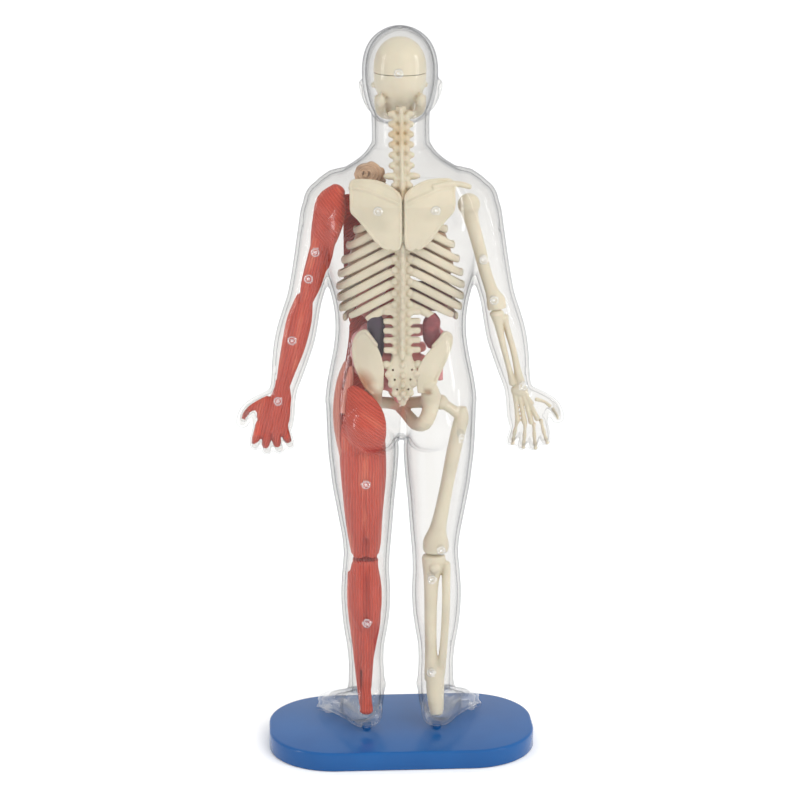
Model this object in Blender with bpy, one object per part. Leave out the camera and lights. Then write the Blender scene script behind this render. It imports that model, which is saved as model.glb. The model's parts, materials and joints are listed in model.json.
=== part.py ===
"""Clear-bodied human anatomy model on a blue stand: parts design.

A twelve inch standing figure. A clear two-part body shell holds bones on the figure's right
side, muscles on its left side and a set of soft organs. Metres, +Z up, the stand's underside on
z = 0, the figure faces -Y and its left side is +X. Lengths below are millimetres, times MM.
"""
import math

import bmesh
import bpy
from mathutils import Matrix, Vector
from mathutils.bvhtree import BVHTree

MM = 0.001

# ---------------------------------------------------------------- driving sizes (mm)
STAND_X, STAND_Y, STAND_Z = 113.0, 66.0, 8.0   # stand length, depth, height
STAND_CORNER = 28.0                            # corner radius in plan
STAND_EDGE = 0.8                               # bevel along the top and bottom rim
GAP = 0.3                                      # air between pieces that rest on each other
SOLE = STAND_Z + GAP                           # underside of the feet
WALL = 1.3                                     # clear shell wall
SEAM = 0.15                                    # half of the gap between the two shell halves
TURNOUT = math.radians(25.0)                   # feet turned out
PEG_R, PEG_HOLE_R, PEG_TOP = 1.8, 2.2, 10.4    # stand pegs that locate the heels
PEG_AT = (15.0, 6.0)
POST_R = 1.5                                   # posts inside the back shell
SKULL_SPLIT = 286.5                            # height of the cut between skull cap and base
KNEE = 84.0                                    # height of the knee joint line
RIB_COUNT = 10
RIB_TOP, RIB_PITCH = 236.5, 4.85
RIB_THICK, RIB_TALL = 0.8, 1.35                # half sizes of a rib band
LUMBAR = (190.6, 186.6, 182.6, 178.6, 174.6)   # heights of the five pairs of side tabs

VOXEL_BODY, VOXEL_BONE, VOXEL_ORGAN = 0.95, 0.6, 0.7

# ---------------------------------------------------------------- body form (mm)
# height, half width, front y, back y
TRUNK = [
    (130.5, 9.0, -7.0, 10.0), (134, 19.0, -13.0, 16.0), (140, 30.5, -16.5, 19.0),
    (148, 31.6, -17.5, 19.0), (156, 31.0, -18.0, 17.0), (164, 29.6, -18.0, 15.0),
    (172, 28.0, -18.0, 14.6), (180, 27.0, -18.0, 14.0), (188, 27.2, -18.6, 14.4),
    (196, 28.6, -19.8, 15.4), (204, 31.0, -21.0, 17.4), (212, 33.2, -21.8, 19.0),
    (220, 34.8, -21.4, 20.0), (228, 35.4, -20.0, 19.6), (235, 34.0, -17.6, 18.0),
    (240, 32.5, -15.6, 16.6), (244, 29.6, -13.8, 15.2), (247, 25.8, -12.8, 14.0),
    (249.5, 21.6, -12.2, 13.0), (252, 17.6, -12.0, 12.0), (255, 14.2, -12.2, 10.8),
    (258, 12.2, -12.6, 9.8),
]
NECK = [(246, 13.0, -11.5, 12.0), (254, 12.0, -12.2, 10.4), (260, 11.7, -13.4, 8.9),
        (267, 11.7, -15.0, 8.0), (275, 12.0, -16.5, 8.0)]
HEAD = [
    (264.2, 5.0, -21.5, -8.0), (266, 8.8, -24.0, -1.0), (269, 11.4, -25.0, 4.0),
    (273, 13.2, -25.6, 7.6), (278, 14.5, -25.8, 10.0), (284, 15.3, -26.0, 11.2),
    (290, 15.2, -25.8, 11.0), (295, 14.1, -24.4, 9.6), (299, 12.0, -21.8, 7.2),
    (302, 9.0, -18.4, 4.2), (304, 5.4, -14.6, 0.6), (304.9, 2.0, -10.5, -3.0),
]
# x, y, height, half width, half depth
ARM = [
    (17.0, 1.0, 240.5, 8.0, 9.0), (24.5, 1.0, 239.5, 9.4, 10.0), (30.6, 1.0, 232.5, 9.6, 10.0),
    (33.6, 1.0, 222.0, 8.6, 9.4), (35.6, 1.0, 212.0, 8.1, 8.8), (37.6, 1.0, 203.0, 7.6, 8.2),
    (39.6, 1.0, 195.0, 7.2, 7.6), (41.6, 0.6, 187.0, 7.8, 7.5), (43.5, 0.2, 179.0, 8.2, 7.4),
    (45.4, -0.2, 171.0, 7.6, 6.8), (47.1, -0.6, 163.0, 6.5, 5.8), (48.5, -0.8, 157.0, 5.7, 5.0),
    (50.0, -0.8, 151.5, 6.4, 4.6), (51.6, -0.8, 146.0, 7.7, 4.3), (53.2, -0.8, 140.5, 7.8, 4.0),
    (54.0, -0.8, 137.5, 6.4, 3.4),
]
FINGERS = [
    ((48.6, -0.8, 141.0), (47.6, -1.2, 136.0), (47.0, -1.8, 131.4), 1.9),
    ((52.0, -0.8, 140.0), (51.8, -1.2, 134.5), (51.5, -2.0, 129.6), 2.1),
    ((55.6, -0.8, 140.0), (56.0, -1.2, 134.5), (56.6, -2.0, 129.2), 2.1),
    ((58.6, -0.8, 141.5), (60.0, -1.2, 136.0), (61.6, -2.0, 131.4), 2.1),
]
THUMB = [(53.0, -0.8, 152.5, 3.2, 3.2), (59.0, -1.0, 150.0, 2.9, 2.8),
         (63.8, -1.4, 147.0, 2.5, 2.4), (66.0, -1.8, 142.0, 2.2, 2.1)]
LEG = [
    (15.6, 1.2, 142.0, 13.5, 15.0), (15.7, 1.2, 132.0, 14.7, 16.0), (15.5, 1.2, 124.0, 14.2, 15.3),
    (15.4, 0.8, 116.0, 13.4, 14.3), (15.1, 0.4, 108.0, 12.3, 13.2), (14.7, 0.1, 100.0, 11.3, 12.0),
    (14.4, -0.1, 92.0, 10.3, 10.8), (14.5, -0.1, 84.0, 9.7, 10.0), (14.9, 0.6, 76.0, 10.0, 9.9),
    (15.0, 1.4, 68.0, 10.4, 10.2), (15.0, 1.6, 60.0, 10.1, 9.9), (15.1, 1.2, 52.0, 9.2, 8.6),
    (15.1, 0.8, 44.0, 7.9, 7.3), (14.9, 0.6, 36.0, 7.4, 6.7), (14.8, 0.9, 29.0, 7.6, 7.2),
    (14.8, 1.6, 21.0, 7.4, 8.4), (14.8, 2.0, 15.0, 6.4, 7.4),
]
# distance from the heel along the foot, half width, height of the instep
FOOT = [(1.0, 3.6, 8.0), (3.5, 6.0, 12.0), (8.0, 7.2, 15.0), (14.0, 7.2, 16.0), (20.0, 7.6, 13.5),
        (27.0, 8.6, 10.4), (33.0, 9.0, 8.0), (38.0, 8.0, 6.2), (41.0, 5.4, 4.6)]
HEEL = (12.3, 12.6)


# ---------------------------------------------------------------- mesh helpers
def clear_scene():
    for ob in list(bpy.data.objects):
        bpy.data.objects.remove(ob)
    for me in list(bpy.data.meshes):
        bpy.data.meshes.remove(me)


def spow(v, p):
    return math.copysign(abs(v) ** p, v)


def loft(bm, stations, ref=(0, 1, 0), seg=16, power=2.0, shrink=0.0, ends=0.0, twist=0.0,
         level=False):
    """One closed tube through stations (x, y, z, half width, half depth); the depth lies along ref.

    shrink pulls every wall in, and both ends with it; ends > 0 rounds the ends over; level keeps
    every ring horizontal.
    """
    pts = [Vector(s[:3]) for s in stations]
    a = [max(s[3] - shrink, 0.4) for s in stations]
    b = [max(s[4] - shrink, 0.4) for s in stations]
    if shrink:
        pts[0] = pts[0] + (pts[1] - pts[0]).normalized() * shrink
        pts[-1] = pts[-1] + (pts[-2] - pts[-1]).normalized() * shrink
    if ends:
        first, last = (pts[0] - pts[1]).normalized(), (pts[-1] - pts[-2]).normalized()
        p0, p1, a0, b0, a1, b1 = pts[0].copy(), pts[-1].copy(), a[0], b[0], a[-1], b[-1]
        r0, r1 = ends * min(a0, b0), ends * min(a1, b1)
        for k in (0.45, 0.8, 0.98):
            f = math.sqrt(1 - k * k)
            pts.insert(0, p0 + first * r0 * k)
            a.insert(0, a0 * f)
            b.insert(0, b0 * f)
            pts.append(p1 + last * r1 * k)
            a.append(a1 * f)
            b.append(b1 * f)
    rings = []
    n = len(pts)
    for i, p in enumerate(pts):
        t = (pts[min(i + 1, n - 1)] - pts[max(i - 1, 0)]).normalized()
        if level:
            t = Vector((0, 0, 1 if pts[-1].z > pts[0].z else -1))
        u = Vector(ref).cross(t).normalized()
        v = t.cross(u)
        ring = []
        for k in range(seg):
            ang = 2 * math.pi * (k + 0.5) / seg + twist
            q = p + u * (a[i] * spow(math.cos(ang), 2 / power)) \
                  + v * (b[i] * spow(math.sin(ang), 2 / power))
            ring.append(bm.verts.new(q * MM))
        rings.append(ring)
    for r0, r1 in zip(rings, rings[1:]):
        for k in range(seg):
            bm.faces.new((r0[k], r0[(k + 1) % seg], r1[(k + 1) % seg], r1[k]))
    bm.faces.new(rings[0][::-1])
    bm.faces.new(rings[-1])


def column(bm, rows, seg=24, power=2.0, shrink=0.0, x=0.0):
    """A vertical loft from rows (height, half width, front y, back y)."""
    loft(bm, [(x, (f + k) / 2, z, w, (k - f) / 2) for z, w, f, k in rows],
         seg=seg, power=power, shrink=shrink, level=True)


def ball(bm, centre, radii, seg=16, rings=8, turn=0.0):
    m = Matrix.Translation(Vector(centre) * MM) @ Matrix.Rotation(turn, 4, "Y") @ Matrix.Diagonal(
        (radii[0] * MM, radii[1] * MM, radii[2] * MM, 1.0))
    bmesh.ops.create_uvsphere(bm, u_segments=seg, v_segments=rings, radius=1.0, matrix=m)


def box(bm, lo, hi):
    c = [(p + q) / 2 * MM for p, q in zip(lo, hi)]
    s = [(q - p) * MM for p, q in zip(lo, hi)]
    bmesh.ops.create_cube(bm, size=1.0, matrix=Matrix.Translation(c) @ Matrix.Diagonal((*s, 1.0)))


def rod(bm, a, b, r, seg=12):
    """A straight round bar from a to b."""
    a, b = Vector(a), Vector(b)
    turn = (b - a).to_track_quat("Z", "Y").to_matrix().to_4x4()
    bmesh.ops.create_cone(bm, cap_ends=True, segments=seg, radius1=r * MM, radius2=r * MM,
                          depth=(b - a).length * MM,
                          matrix=Matrix.Translation((a + b) / 2 * MM) @ turn)


def mirrored(stations):
    return [(-s[0],) + tuple(s[1:]) for s in stations]


def settle(ob):
    """Turns an object's modifiers into its mesh."""
    bpy.context.view_layer.update()
    deps = bpy.context.evaluated_depsgraph_get()
    me = bpy.data.meshes.new_from_object(ob.evaluated_get(deps))
    ob.modifiers.clear()
    old, ob.data = ob.data, me
    bpy.data.meshes.remove(old)
    return ob


def from_bm(name, bm):
    bmesh.ops.recalc_face_normals(bm, faces=bm.faces)
    me = bpy.data.meshes.new(name)
    bm.to_mesh(me)
    bm.free()
    ob = bpy.data.objects.new(name, me)
    bpy.context.scene.collection.objects.link(ob)
    return ob


def make(name, *draws):
    """An object whose mesh is drawn by each of the given functions."""
    bm = bmesh.new()
    for draw in draws:
        draw(bm)
    return from_bm(name, bm)


def tri_count(me):
    return sum(len(p.vertices) - 2 for p in me.polygons)


def melt(ob, voxel, smooth=2, tris=None):
    """Blends overlapping forms to one skin, softens it and thins its mesh."""
    m = ob.modifiers.new("blend", "REMESH")
    m.mode, m.voxel_size, m.use_smooth_shade = "VOXEL", voxel * MM, False
    if smooth:
        m = ob.modifiers.new("soften", "SMOOTH")
        m.factor, m.iterations = 0.5, smooth
    settle(ob)
    if tris:
        thin(ob, tris)
    return ob


def thin(ob, tris):
    n = tri_count(ob.data)
    if n > tris:
        m = ob.modifiers.new("thin", "DECIMATE")
        m.decimate_type, m.ratio, m.use_collapse_triangulate = "COLLAPSE", tris / n, True
        settle(ob)
    return ob


def combine(ob, other, how="DIFFERENCE", keep=False, solver="EXACT"):
    m = ob.modifiers.new("join", "BOOLEAN")
    m.operation, m.object, m.solver = how, other, solver
    settle(ob)
    if not keep:
        bpy.data.objects.remove(other)
    return ob


def copy_of(ob, name):
    c = ob.copy()
    c.data = ob.data.copy()
    c.name = name
    bpy.context.scene.collection.objects.link(c)
    return c


def main_body(ob):
    """Drops crumbs: keeps the largest connected part and merges doubled points."""
    bm = bmesh.new()
    bm.from_mesh(ob.data)
    bmesh.ops.remove_doubles(bm, verts=bm.verts, dist=2e-6)
    bmesh.ops.dissolve_degenerate(bm, edges=bm.edges, dist=1e-6)
    seen, groups = set(), []
    for v in bm.verts:
        if v in seen:
            continue
        stack, part = [v], []
        seen.add(v)
        while stack:
            w = stack.pop()
            part.append(w)
            for e in w.link_edges:
                o = e.other_vert(w)
                if o not in seen:
                    seen.add(o)
                    stack.append(o)
        groups.append(part)
    groups.sort(key=len, reverse=True)
    loose = [v for g in groups[1:] for v in g]
    bmesh.ops.delete(bm, geom=loose, context="VERTS")
    bmesh.ops.recalc_face_normals(bm, faces=bm.faces)
    bm.to_mesh(ob.data)
    bm.free()
    return ob


# ---------------------------------------------------------------- materials and nodes
def material(name, rgb, rough, metal=0.0, clear=0.0):
    m = bpy.data.materials.new(name)
    m.use_nodes = True
    p = m.node_tree.nodes["Principled BSDF"]
    p.inputs["Base Color"].default_value = (*rgb, 1.0)
    p.inputs["Roughness"].default_value = rough
    p.inputs["Metallic"].default_value = metal
    p.inputs["Transmission Weight"].default_value = clear
    m.diffuse_color = (*rgb, 1.0)
    return m


NODES = []


def node(ob, name, mat, origin=None):
    """Names a finished sub-part, moves its origin to origin or its centre and gives it a material."""
    main_body(ob)
    ob.name = name
    ob.data.name = name
    if origin is None:
        pts = [v.co for v in ob.data.vertices]
        lo = Vector([min(p[i] for p in pts) for i in range(3)])
        hi = Vector([max(p[i] for p in pts) for i in range(3)])
        origin = (lo + hi) / 2
    else:
        origin = Vector(origin) * MM
    ob.data.transform(Matrix.Translation(-origin))
    ob.location = origin
    ob.data.materials.clear()
    ob.data.materials.append(mat)
    NODES.append(ob)
    return ob


# ---------------------------------------------------------------- body volumes
def foot_path():
    d = Vector((math.sin(TURNOUT), -math.cos(TURNOUT), 0))
    h = Vector((HEEL[0], HEEL[1], 0))
    out = []
    for s, w, tall in FOOT:
        c = h + d * s
        out.append((c.x, c.y, SOLE + tall / 2, w, tall / 2))
    return out


def body_volume(name, shrink, voxel, smooth, tris):
    """The whole body as one solid; with shrink, the hollow inside it."""
    bm = bmesh.new()
    column(bm, TRUNK, seg=32, power=2.25, shrink=shrink)
    column(bm, NECK, seg=20, shrink=shrink)
    column(bm, HEAD, seg=28, power=2.1, shrink=shrink)
    for side in (1, -1):
        flip = mirrored if side < 0 else list
        loft(bm, flip(ARM), seg=20, shrink=shrink)
        loft(bm, flip(LEG), seg=24, shrink=shrink)
        loft(bm, flip(foot_path()), ref=(0, 0, 1), seg=18, power=2.6, shrink=shrink)
        ball(bm, (side * 13.0, 9.5, 143.0), [r - shrink for r in (12.5, 11.5, 13.0)])
        ball(bm, (side * 13.0, -12.6, 222.0), [r - shrink for r in (13.0, 9.4, 9.5)])
        ball(bm, (side * 30.0, 1.0, 234.0), [r - shrink for r in (9.8, 10.4, 10.5)])
        if not shrink:
            for a, m, b, r in FINGERS:
                loft(bm, flip([(*a, r, r), (*m, r, r), (*b, r * 0.85, r * 0.85)]), seg=10, ends=1.0)
            loft(bm, flip(THUMB), seg=12, ends=1.0)
            ball(bm, (side * 15.6, -4.5, 283.5), (1.9, 3.4, 6.6), turn=side * 0.12)
    if not shrink:
        loft(bm, [(0, -25.0, 287.0, 1.6, 1.4), (0, -26.8, 282.5, 1.9, 2.0),
                  (0, -28.2, 279.0, 2.6, 2.4), (0, -25.8, 276.8, 2.6, 1.6)], seg=10)
        ball(bm, (0, -23.6, 267.6), (5.0, 3.2, 3.4))
    ob = from_bm(name, bm)
    melt(ob, voxel, smooth, tris)
    return main_body(ob)


# ---------------------------------------------------------------- nodes
def stand():
    def plate(bm):
        x, y, r = STAND_X / 2, STAND_Y / 2, STAND_CORNER
        ring = []
        for cx, cy, a0 in ((x - r, y - r, 0), (r - x, y - r, 90), (r - x, r - y, 180), (x - r, r - y, 270)):
            for k in range(9):
                a = math.radians(a0 + 90 * k / 8)
                ring.append((cx + r * math.cos(a), cy + r * math.sin(a)))
        rows = []
        for z, inset in ((0.0, STAND_EDGE), (STAND_EDGE, 0.0), (STAND_Z - STAND_EDGE, 0.0),
                         (STAND_Z, STAND_EDGE)):
            kx, ky = (x - inset) / x, (y - inset) / y
            rows.append([bm.verts.new((px * kx * MM, py * ky * MM, z * MM)) for px, py in ring])
        for r0, r1 in zip(rows, rows[1:]):
            for k in range(len(ring)):
                bm.faces.new((r0[k], r0[(k + 1) % len(ring)], r1[(k + 1) % len(ring)], r1[k]))
        bm.faces.new(rows[0][::-1])
        bm.faces.new(rows[-1])
    ob = make("stand", plate)
    pegs = make("pegs", *[lambda bm, s=s: rod(bm, (s * PEG_AT[0], PEG_AT[1], STAND_Z - 2),
                                              (s * PEG_AT[0], PEG_AT[1], PEG_TOP), PEG_R)
                          for s in (1, -1)])
    return combine(ob, pegs, "UNION")


def plate(bm, rows, y_of, thick, n=6):
    """An upright curved plate from rows (height, inner x, outer x); y_of(x, z) is its mid depth."""
    rings = []
    for z, x0, x1 in rows:
        front, back = [], []
        for k in range(n + 1):
            f = k / n
            x = x0 + (x1 - x0) * f
            t = thick / 2 * (0.35 + 0.65 * math.sin(math.pi * min(max(f, 0.12), 0.88)) ** 0.5)
            y = y_of(x, z)
            front.append((x, y - t, z))
            back.append((x, y + t, z))
        rings.append([bm.verts.new(Vector(p) * MM) for p in front + back[::-1]])
    for r0, r1 in zip(rings, rings[1:]):
        for k in range(len(r0)):
            bm.faces.new((r0[k], r0[(k + 1) % len(r0)], r1[(k + 1) % len(r0)], r1[k]))
    bm.faces.new(rings[0][::-1])
    bm.faces.new(rings[-1])


def grow(ob, by):
    m = ob.modifiers.new("grow", "DISPLACE")
    m.strength, m.mid_level = by * MM, 0.0
    return settle(ob)


def clear_of(ob, other, gap=0.45):
    """Cuts room for other, with a gap, out of ob."""
    return combine(ob, grow(copy_of(other, "room"), gap), "DIFFERENCE")


def surface_y(obs, x, z, from_back=True):
    """The y at which a line along Y through (x, z) first meets any of the objects, in mm."""
    best = None
    for ob in obs:
        bm = bmesh.new()
        bm.from_mesh(ob.data)
        bm.transform(ob.matrix_world)
        tree = BVHTree.FromBMesh(bm)
        bm.free()
        s = 1 if from_back else -1
        hit = tree.ray_cast(Vector((x * MM, s * 0.1, z * MM)), Vector((0, -s, 0)))[0]
        if hit is not None:
            y = hit.y / MM
            best = y if best is None or s * y > s * best else best
    return best


# ---------------------------------------------------------------- skeleton
SKULL = [(266.8, 4.6, -20.6, -13.0), (269, 6.0, -21.4, -10.5), (272, 6.6, -21.4, -7.0),
         (275.2, 7.8, -21.2, -1.0), (278, 9.3, -21.4, 3.6), (282, 10.3, -21.7, 6.2),
         (286.5, 10.7, -21.9, 7.0), (291, 10.4, -21.0, 6.5), (295, 9.1, -18.8, 4.8),
         (298, 6.8, -15.8, 2.0), (299.8, 4.0, -12.6, -1.6), (300.5, 1.6, -9.6, -4.8)]
BRAIN_AT, BRAIN_R, BRAIN_ROOM = (0.0, -7.4, 288.4), (8.1, 11.3, 9.1), 0.7
# x, y, height, half width, half depth
SPINE = [(0, -1.6, 273.2, 2.2, 2.2), (0, -0.8, 266, 2.4, 2.3), (0, 0.6, 258, 2.6, 2.4),
         (0, 3.0, 250, 2.8, 2.5), (0, 6.0, 242, 2.8, 2.6), (0, 8.0, 232, 2.8, 2.6),
         (0, 9.0, 220, 2.9, 2.6), (0, 8.4, 208, 3.1, 2.8), (0, 7.0, 197, 3.3, 2.9),
         (0, 5.8, 187, 3.6, 3.0), (0, 5.6, 178, 3.8, 3.1), (0, 6.8, 171, 4.4, 2.9),
         (0, 9.2, 165, 6.6, 2.3), (0, 11.0, 159, 4.4, 1.8), (0, 11.6, 155, 2.3, 1.4),
         (0, 11.0, 152, 1.2, 1.0)]
RIB_WIDE = (14.5, 18.5, 21.5, 23.5, 25.0, 25.6, 25.4, 24.6, 23.0, 20.5)
RIB_FALL = (5.0, 8.0, 10.5, 12.0, 13.0, 13.0, 13.0, 13.0, 12.5, 10.0)
RIB_END = (2, 2, 2, 2, 2, 2, 2, 4, 24, 46)       # degrees from the side where each rear rib stops
RIB_MID = -2.0                                   # y of the rib cage's middle
STERNUM_Z = (231.0, 227.0, 222.0, 217.0, 212.5, 209.0, 206.0)
SCAPULA = [(217.8, 2.6, 5.6), (219, 1.5, 8.4), (222, 1.0, 11.6), (226, 1.0, 14.6), (230, 1.0, 18.0),
           (232.5, 1.0, 20.4), (236, 1.0, 21.0), (239, 1.2, 21.0), (241, 3.0, 21.2),
           (243, 6.5, 21.0), (244.4, 11.0, 18.5)]
ILIUM = [(156.5, 8.6, 12.0), (159, 7.8, 14.8), (163, 7.6, 17.0), (168, 7.6, 19.0),
         (173, 8.8, 19.8), (177, 10.6, 19.6), (180, 12.8, 18.6), (182, 14.8, 16.8)]


def spine_y(z):
    for p, q in zip(SPINE, SPINE[1:]):
        if q[2] <= z <= p[2]:
            f = (p[2] - z) / (p[2] - q[2])
            return p[1] + (q[1] - p[1]) * f
    return SPINE[0][1]


def rib(bm, i, side, front):
    z0, wide, fall = RIB_TOP - RIB_PITCH * i, RIB_WIDE[i], RIB_FALL[i]
    pts = []
    steps = 5
    deep = spine_y(z0) + 1.0 - RIB_MID
    for k in range(steps + 1):
        f = k / steps
        if not front:
            a = math.radians(80 - (80 - RIB_END[i]) * f)
            g = (80 - math.degrees(a)) / 78
            z = z0 + 1.2 - fall * g ** 1.15
            if k == 0:
                pts.append((side * 1.0, spine_y(z0) + 0.6, z))
            pts.append((side * wide * math.cos(a), RIB_MID + deep * math.sin(a), z))
        else:
            a1 = 80 if i < 7 else (64, 47)[i - 7]
            a = math.radians(4 + (a1 - 4) * f)
            z_side = z0 + 1.2 - fall
            z_end = STERNUM_Z[i] if i < 7 else (200.6, 195.2)[i - 7]
            z = z_side + (z_end - z_side) * f ** 1.3 - 2.2 * math.sin(math.pi * f)
            fy = 13.6 - 2.6 * max(0.0, (z - 226) / 8)
            pts.append((side * wide * math.cos(a), RIB_MID - fy * math.sin(a), z))
    if front and i < 7:
        pts.append((side * 1.3, RIB_MID - fy + 0.2, pts[-1][2]))
    loft(bm, [(*p, RIB_THICK * 1.2, RIB_TALL * 1.2) for p in pts], ref=(0, 0, 1), seg=4)


def spine_and_ribs():
    body = make("spine", lambda bm: loft(bm, SPINE, seg=10))
    fin = make("fin", lambda bm: loft(
        bm, [(0, y + d + 0.8, z, 0.95, 1.4) for _, y, z, _, d in SPINE[:12]], seg=6))
    combine(body, fin, "UNION")

    def knobs(bm):
        for i in range(7):
            z = 270.4 - 4.05 * i
            w = 2.5 if i < 6 else 3.4
            for s in (1, -1):
                ball(bm, (s * (w + 1.2), spine_y(z) + 1.2, z), (w, 1.6, 1.55), seg=6, rings=4)
        for z in LUMBAR:
            for s in (1, -1):
                ball(bm, (s * 5.0, spine_y(z) + 1.4, z), (2.9, 1.2, 1.5), seg=6, rings=4)
    combine(body, make("knobs", knobs), "UNION")
    combine(body, make("ribs", lambda bm: [rib(bm, i, s, False)
                                           for i in range(RIB_COUNT) for s in (1, -1)]), "UNION")
    holes = make("holes", lambda bm: [rod(bm, (s * x, 0, z), (s * x, 16, z), 0.75, 6)
                                      for s in (1, -1)
                                      for x, z in ((3.6, 166.6), (3.0, 162.8), (2.2, 159.2))])
    return thin(combine(body, holes), 2200)


def front_ribs():
    body = make("sternum", lambda bm: loft(
        bm, [(0, -12.8, 235.6, 3.6, 1.1), (0, -13.8, 230, 3.0, 1.1), (0, -15.4, 219, 2.6, 1.1),
             (0, -15.8, 208, 2.4, 1.1), (0, -15.6, 203.5, 1.4, 0.9)], seg=8, power=3))

    def ribs(bm):
        for i in range(7):
            for s in (1, -1):
                rib(bm, i, s, True)
    combine(body, make("ribs", ribs), "UNION", solver="MANIFOLD")

    def arches(bm):
        for s in (1, -1):
            loft(bm, [(s * x, y, z, 1.1, 1.5) for x, y, z in
                      ((1.6, -15.6, 206.4), (6.5, -15.4, 203.0), (10.8, -14.2, 200.2),
                       (15.5, -11.6, 195.5), (18.6, -8.6, 192.4))], ref=(0, 0, 1), seg=5)
            loft(bm, [(s * x, y, z, 1.3, 1.3) for x, y, z in
                      ((2.0, -12.6, 234.6), (8.0, -11.8, 237.0), (14.5, -8.0, 239.2),
                       (20.5, -2.6, 240.0))], ref=(0, 0, 1), seg=5)
    combine(body, make("arches", arches), "UNION", solver="MANIFOLD")
    combine(body, make("low_ribs", lambda bm: [rib(bm, i, s, True) for i in (7, 8)
                                               for s in (1, -1)]), "UNION", solver="MANIFOLD")
    return main_body(body)


def skull():
    solid = make("skull", lambda bm: column(bm, SKULL, seg=20, power=2.1))
    room = make("room", lambda bm: ball(bm, BRAIN_AT, [r + BRAIN_ROOM for r in BRAIN_R], 16, 10))
    combine(solid, room)

    def face(bm):
        for s in (1, -1):
            ball(bm, (s * 4.3, -22.4, 282.4), (2.9, 3.2, 2.7), 10, 8)
        ball(bm, (0, -22.4, 277.6), (1.5, 2.2, 2.2), 8, 6)
    combine(solid, make("face", face))
    cap = combine(copy_of(solid, "cap"), make("keep", lambda bm: box(
        bm, (-20, -40, SKULL_SPLIT + SEAM), (20, 40, 320))), "INTERSECT")
    base = combine(solid, make("keep", lambda bm: box(
        bm, (-20, -40, 250), (20, 40, SKULL_SPLIT - SEAM))), "INTERSECT")
    return cap, base


def brain():
    ob = make("brain", lambda bm: ball(bm, BRAIN_AT, BRAIN_R, 14, 10))
    x, y, z = BRAIN_AT
    cut = make("cleft", lambda bm: box(bm, (x - 0.35, y - 14, z + 5.4), (x + 0.35, y + 14, z + 12)))
    return combine(ob, cut)


def scapula(side):
    def y_of(x, z):
        return 14.9 - 0.0120 * x * x - 0.62 * max(0.0, z - 235)
    rows = SCAPULA if side < 0 else [(z, a, min(b, 20.6)) for z, a, b in SCAPULA]
    ob = make("scapula", lambda bm: plate(bm, [(z, side * a, side * b) for z, a, b in rows],
                                          lambda x, z: y_of(abs(x), z), 1.8))
    if side < 0:
        hook = make("hook", lambda bm: loft(
            bm, [(-12, 9.4, 241.8, 1.0, 1.1), (-17, 7.6, 242.6, 1.3, 1.3), (-22, 5.2, 242.6, 1.3, 1.3),
                 (-26, 3.0, 241.6, 1.2, 1.2), (-28.0, 1.6, 240.6, 1.0, 1.0)], ref=(0, 0, 1), seg=8))
        combine(ob, hook, "UNION")
    return ob


def pelvis():
    def draw(bm):
        for s in (1, -1):
            plate(bm, [(z, s * a, s * b) for z, a, b in ILIUM],
                  lambda x, z: 10.4 - 0.0135 * x * x - 0.10 * max(0, 166 - z), 2.0)
            loft(bm, [(s * 10.6, 8.4, 160, 3.0, 2.0), (s * 11.8, 5.6, 156, 3.6, 2.6),
                      (s * 12.4, 3.0, 152, 4.2, 3.4)], seg=12, ends=0.8)
            ball(bm, (s * 12.6, 2.0, 151.5), (4.4, 4.4, 4.6), 14, 10)
            loft(bm, [(s * 12.0, 0.5, 150, 2.4, 2.4), (s * 8.0, -5.5, 147.6, 1.9, 1.9),
                      (s * 3.6, -8.8, 146.2, 1.8, 2.0), (0, -9.4, 145.4, 1.8, 2.4)],
                 ref=(0, 0, 1), seg=10)
            loft(bm, [(0, -9.4, 144.8, 1.6, 1.8), (s * 3.6, -6.4, 141.4, 1.6, 1.8),
                      (s * 7.6, -0.6, 139.4, 2.0, 2.0), (s * 10.8, 4.2, 141.2, 2.6, 2.8),
                      (s * 12.4, 4.2, 146.4, 2.6, 2.8), (s * 12.6, 3.2, 150, 2.6, 2.6)],
                 ref=(0, 0, 1), seg=10)
    return melt(make("pelvis", draw), 0.62, 1, 860)


FEMUR_HEAD = (-16.4, 1.6, 150.6)


def humerus():
    def draw(bm):
        ball(bm, (-27.6, 1.0, 233.4), (4.6, 4.6, 4.6))
        loft(bm, [(-27.6, 1, 232, 3.8, 3.8), (-29.0, 1, 226, 2.9, 2.9), (-31.8, 1, 216, 2.3, 2.3),
                  (-34.4, 1, 206, 2.1, 2.1), (-37.2, 1, 197.5, 2.7, 2.3), (-38.9, 1, 193.5, 3.9, 2.7),
                  (-39.4, 1, 190.4, 3.9, 2.7)], seg=12)
        ball(bm, (-38.6, 1.2, 191.6), (2.4, 3.0, 2.2))
    return melt(make("humerus", draw), VOXEL_BONE, 1, 420)


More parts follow.
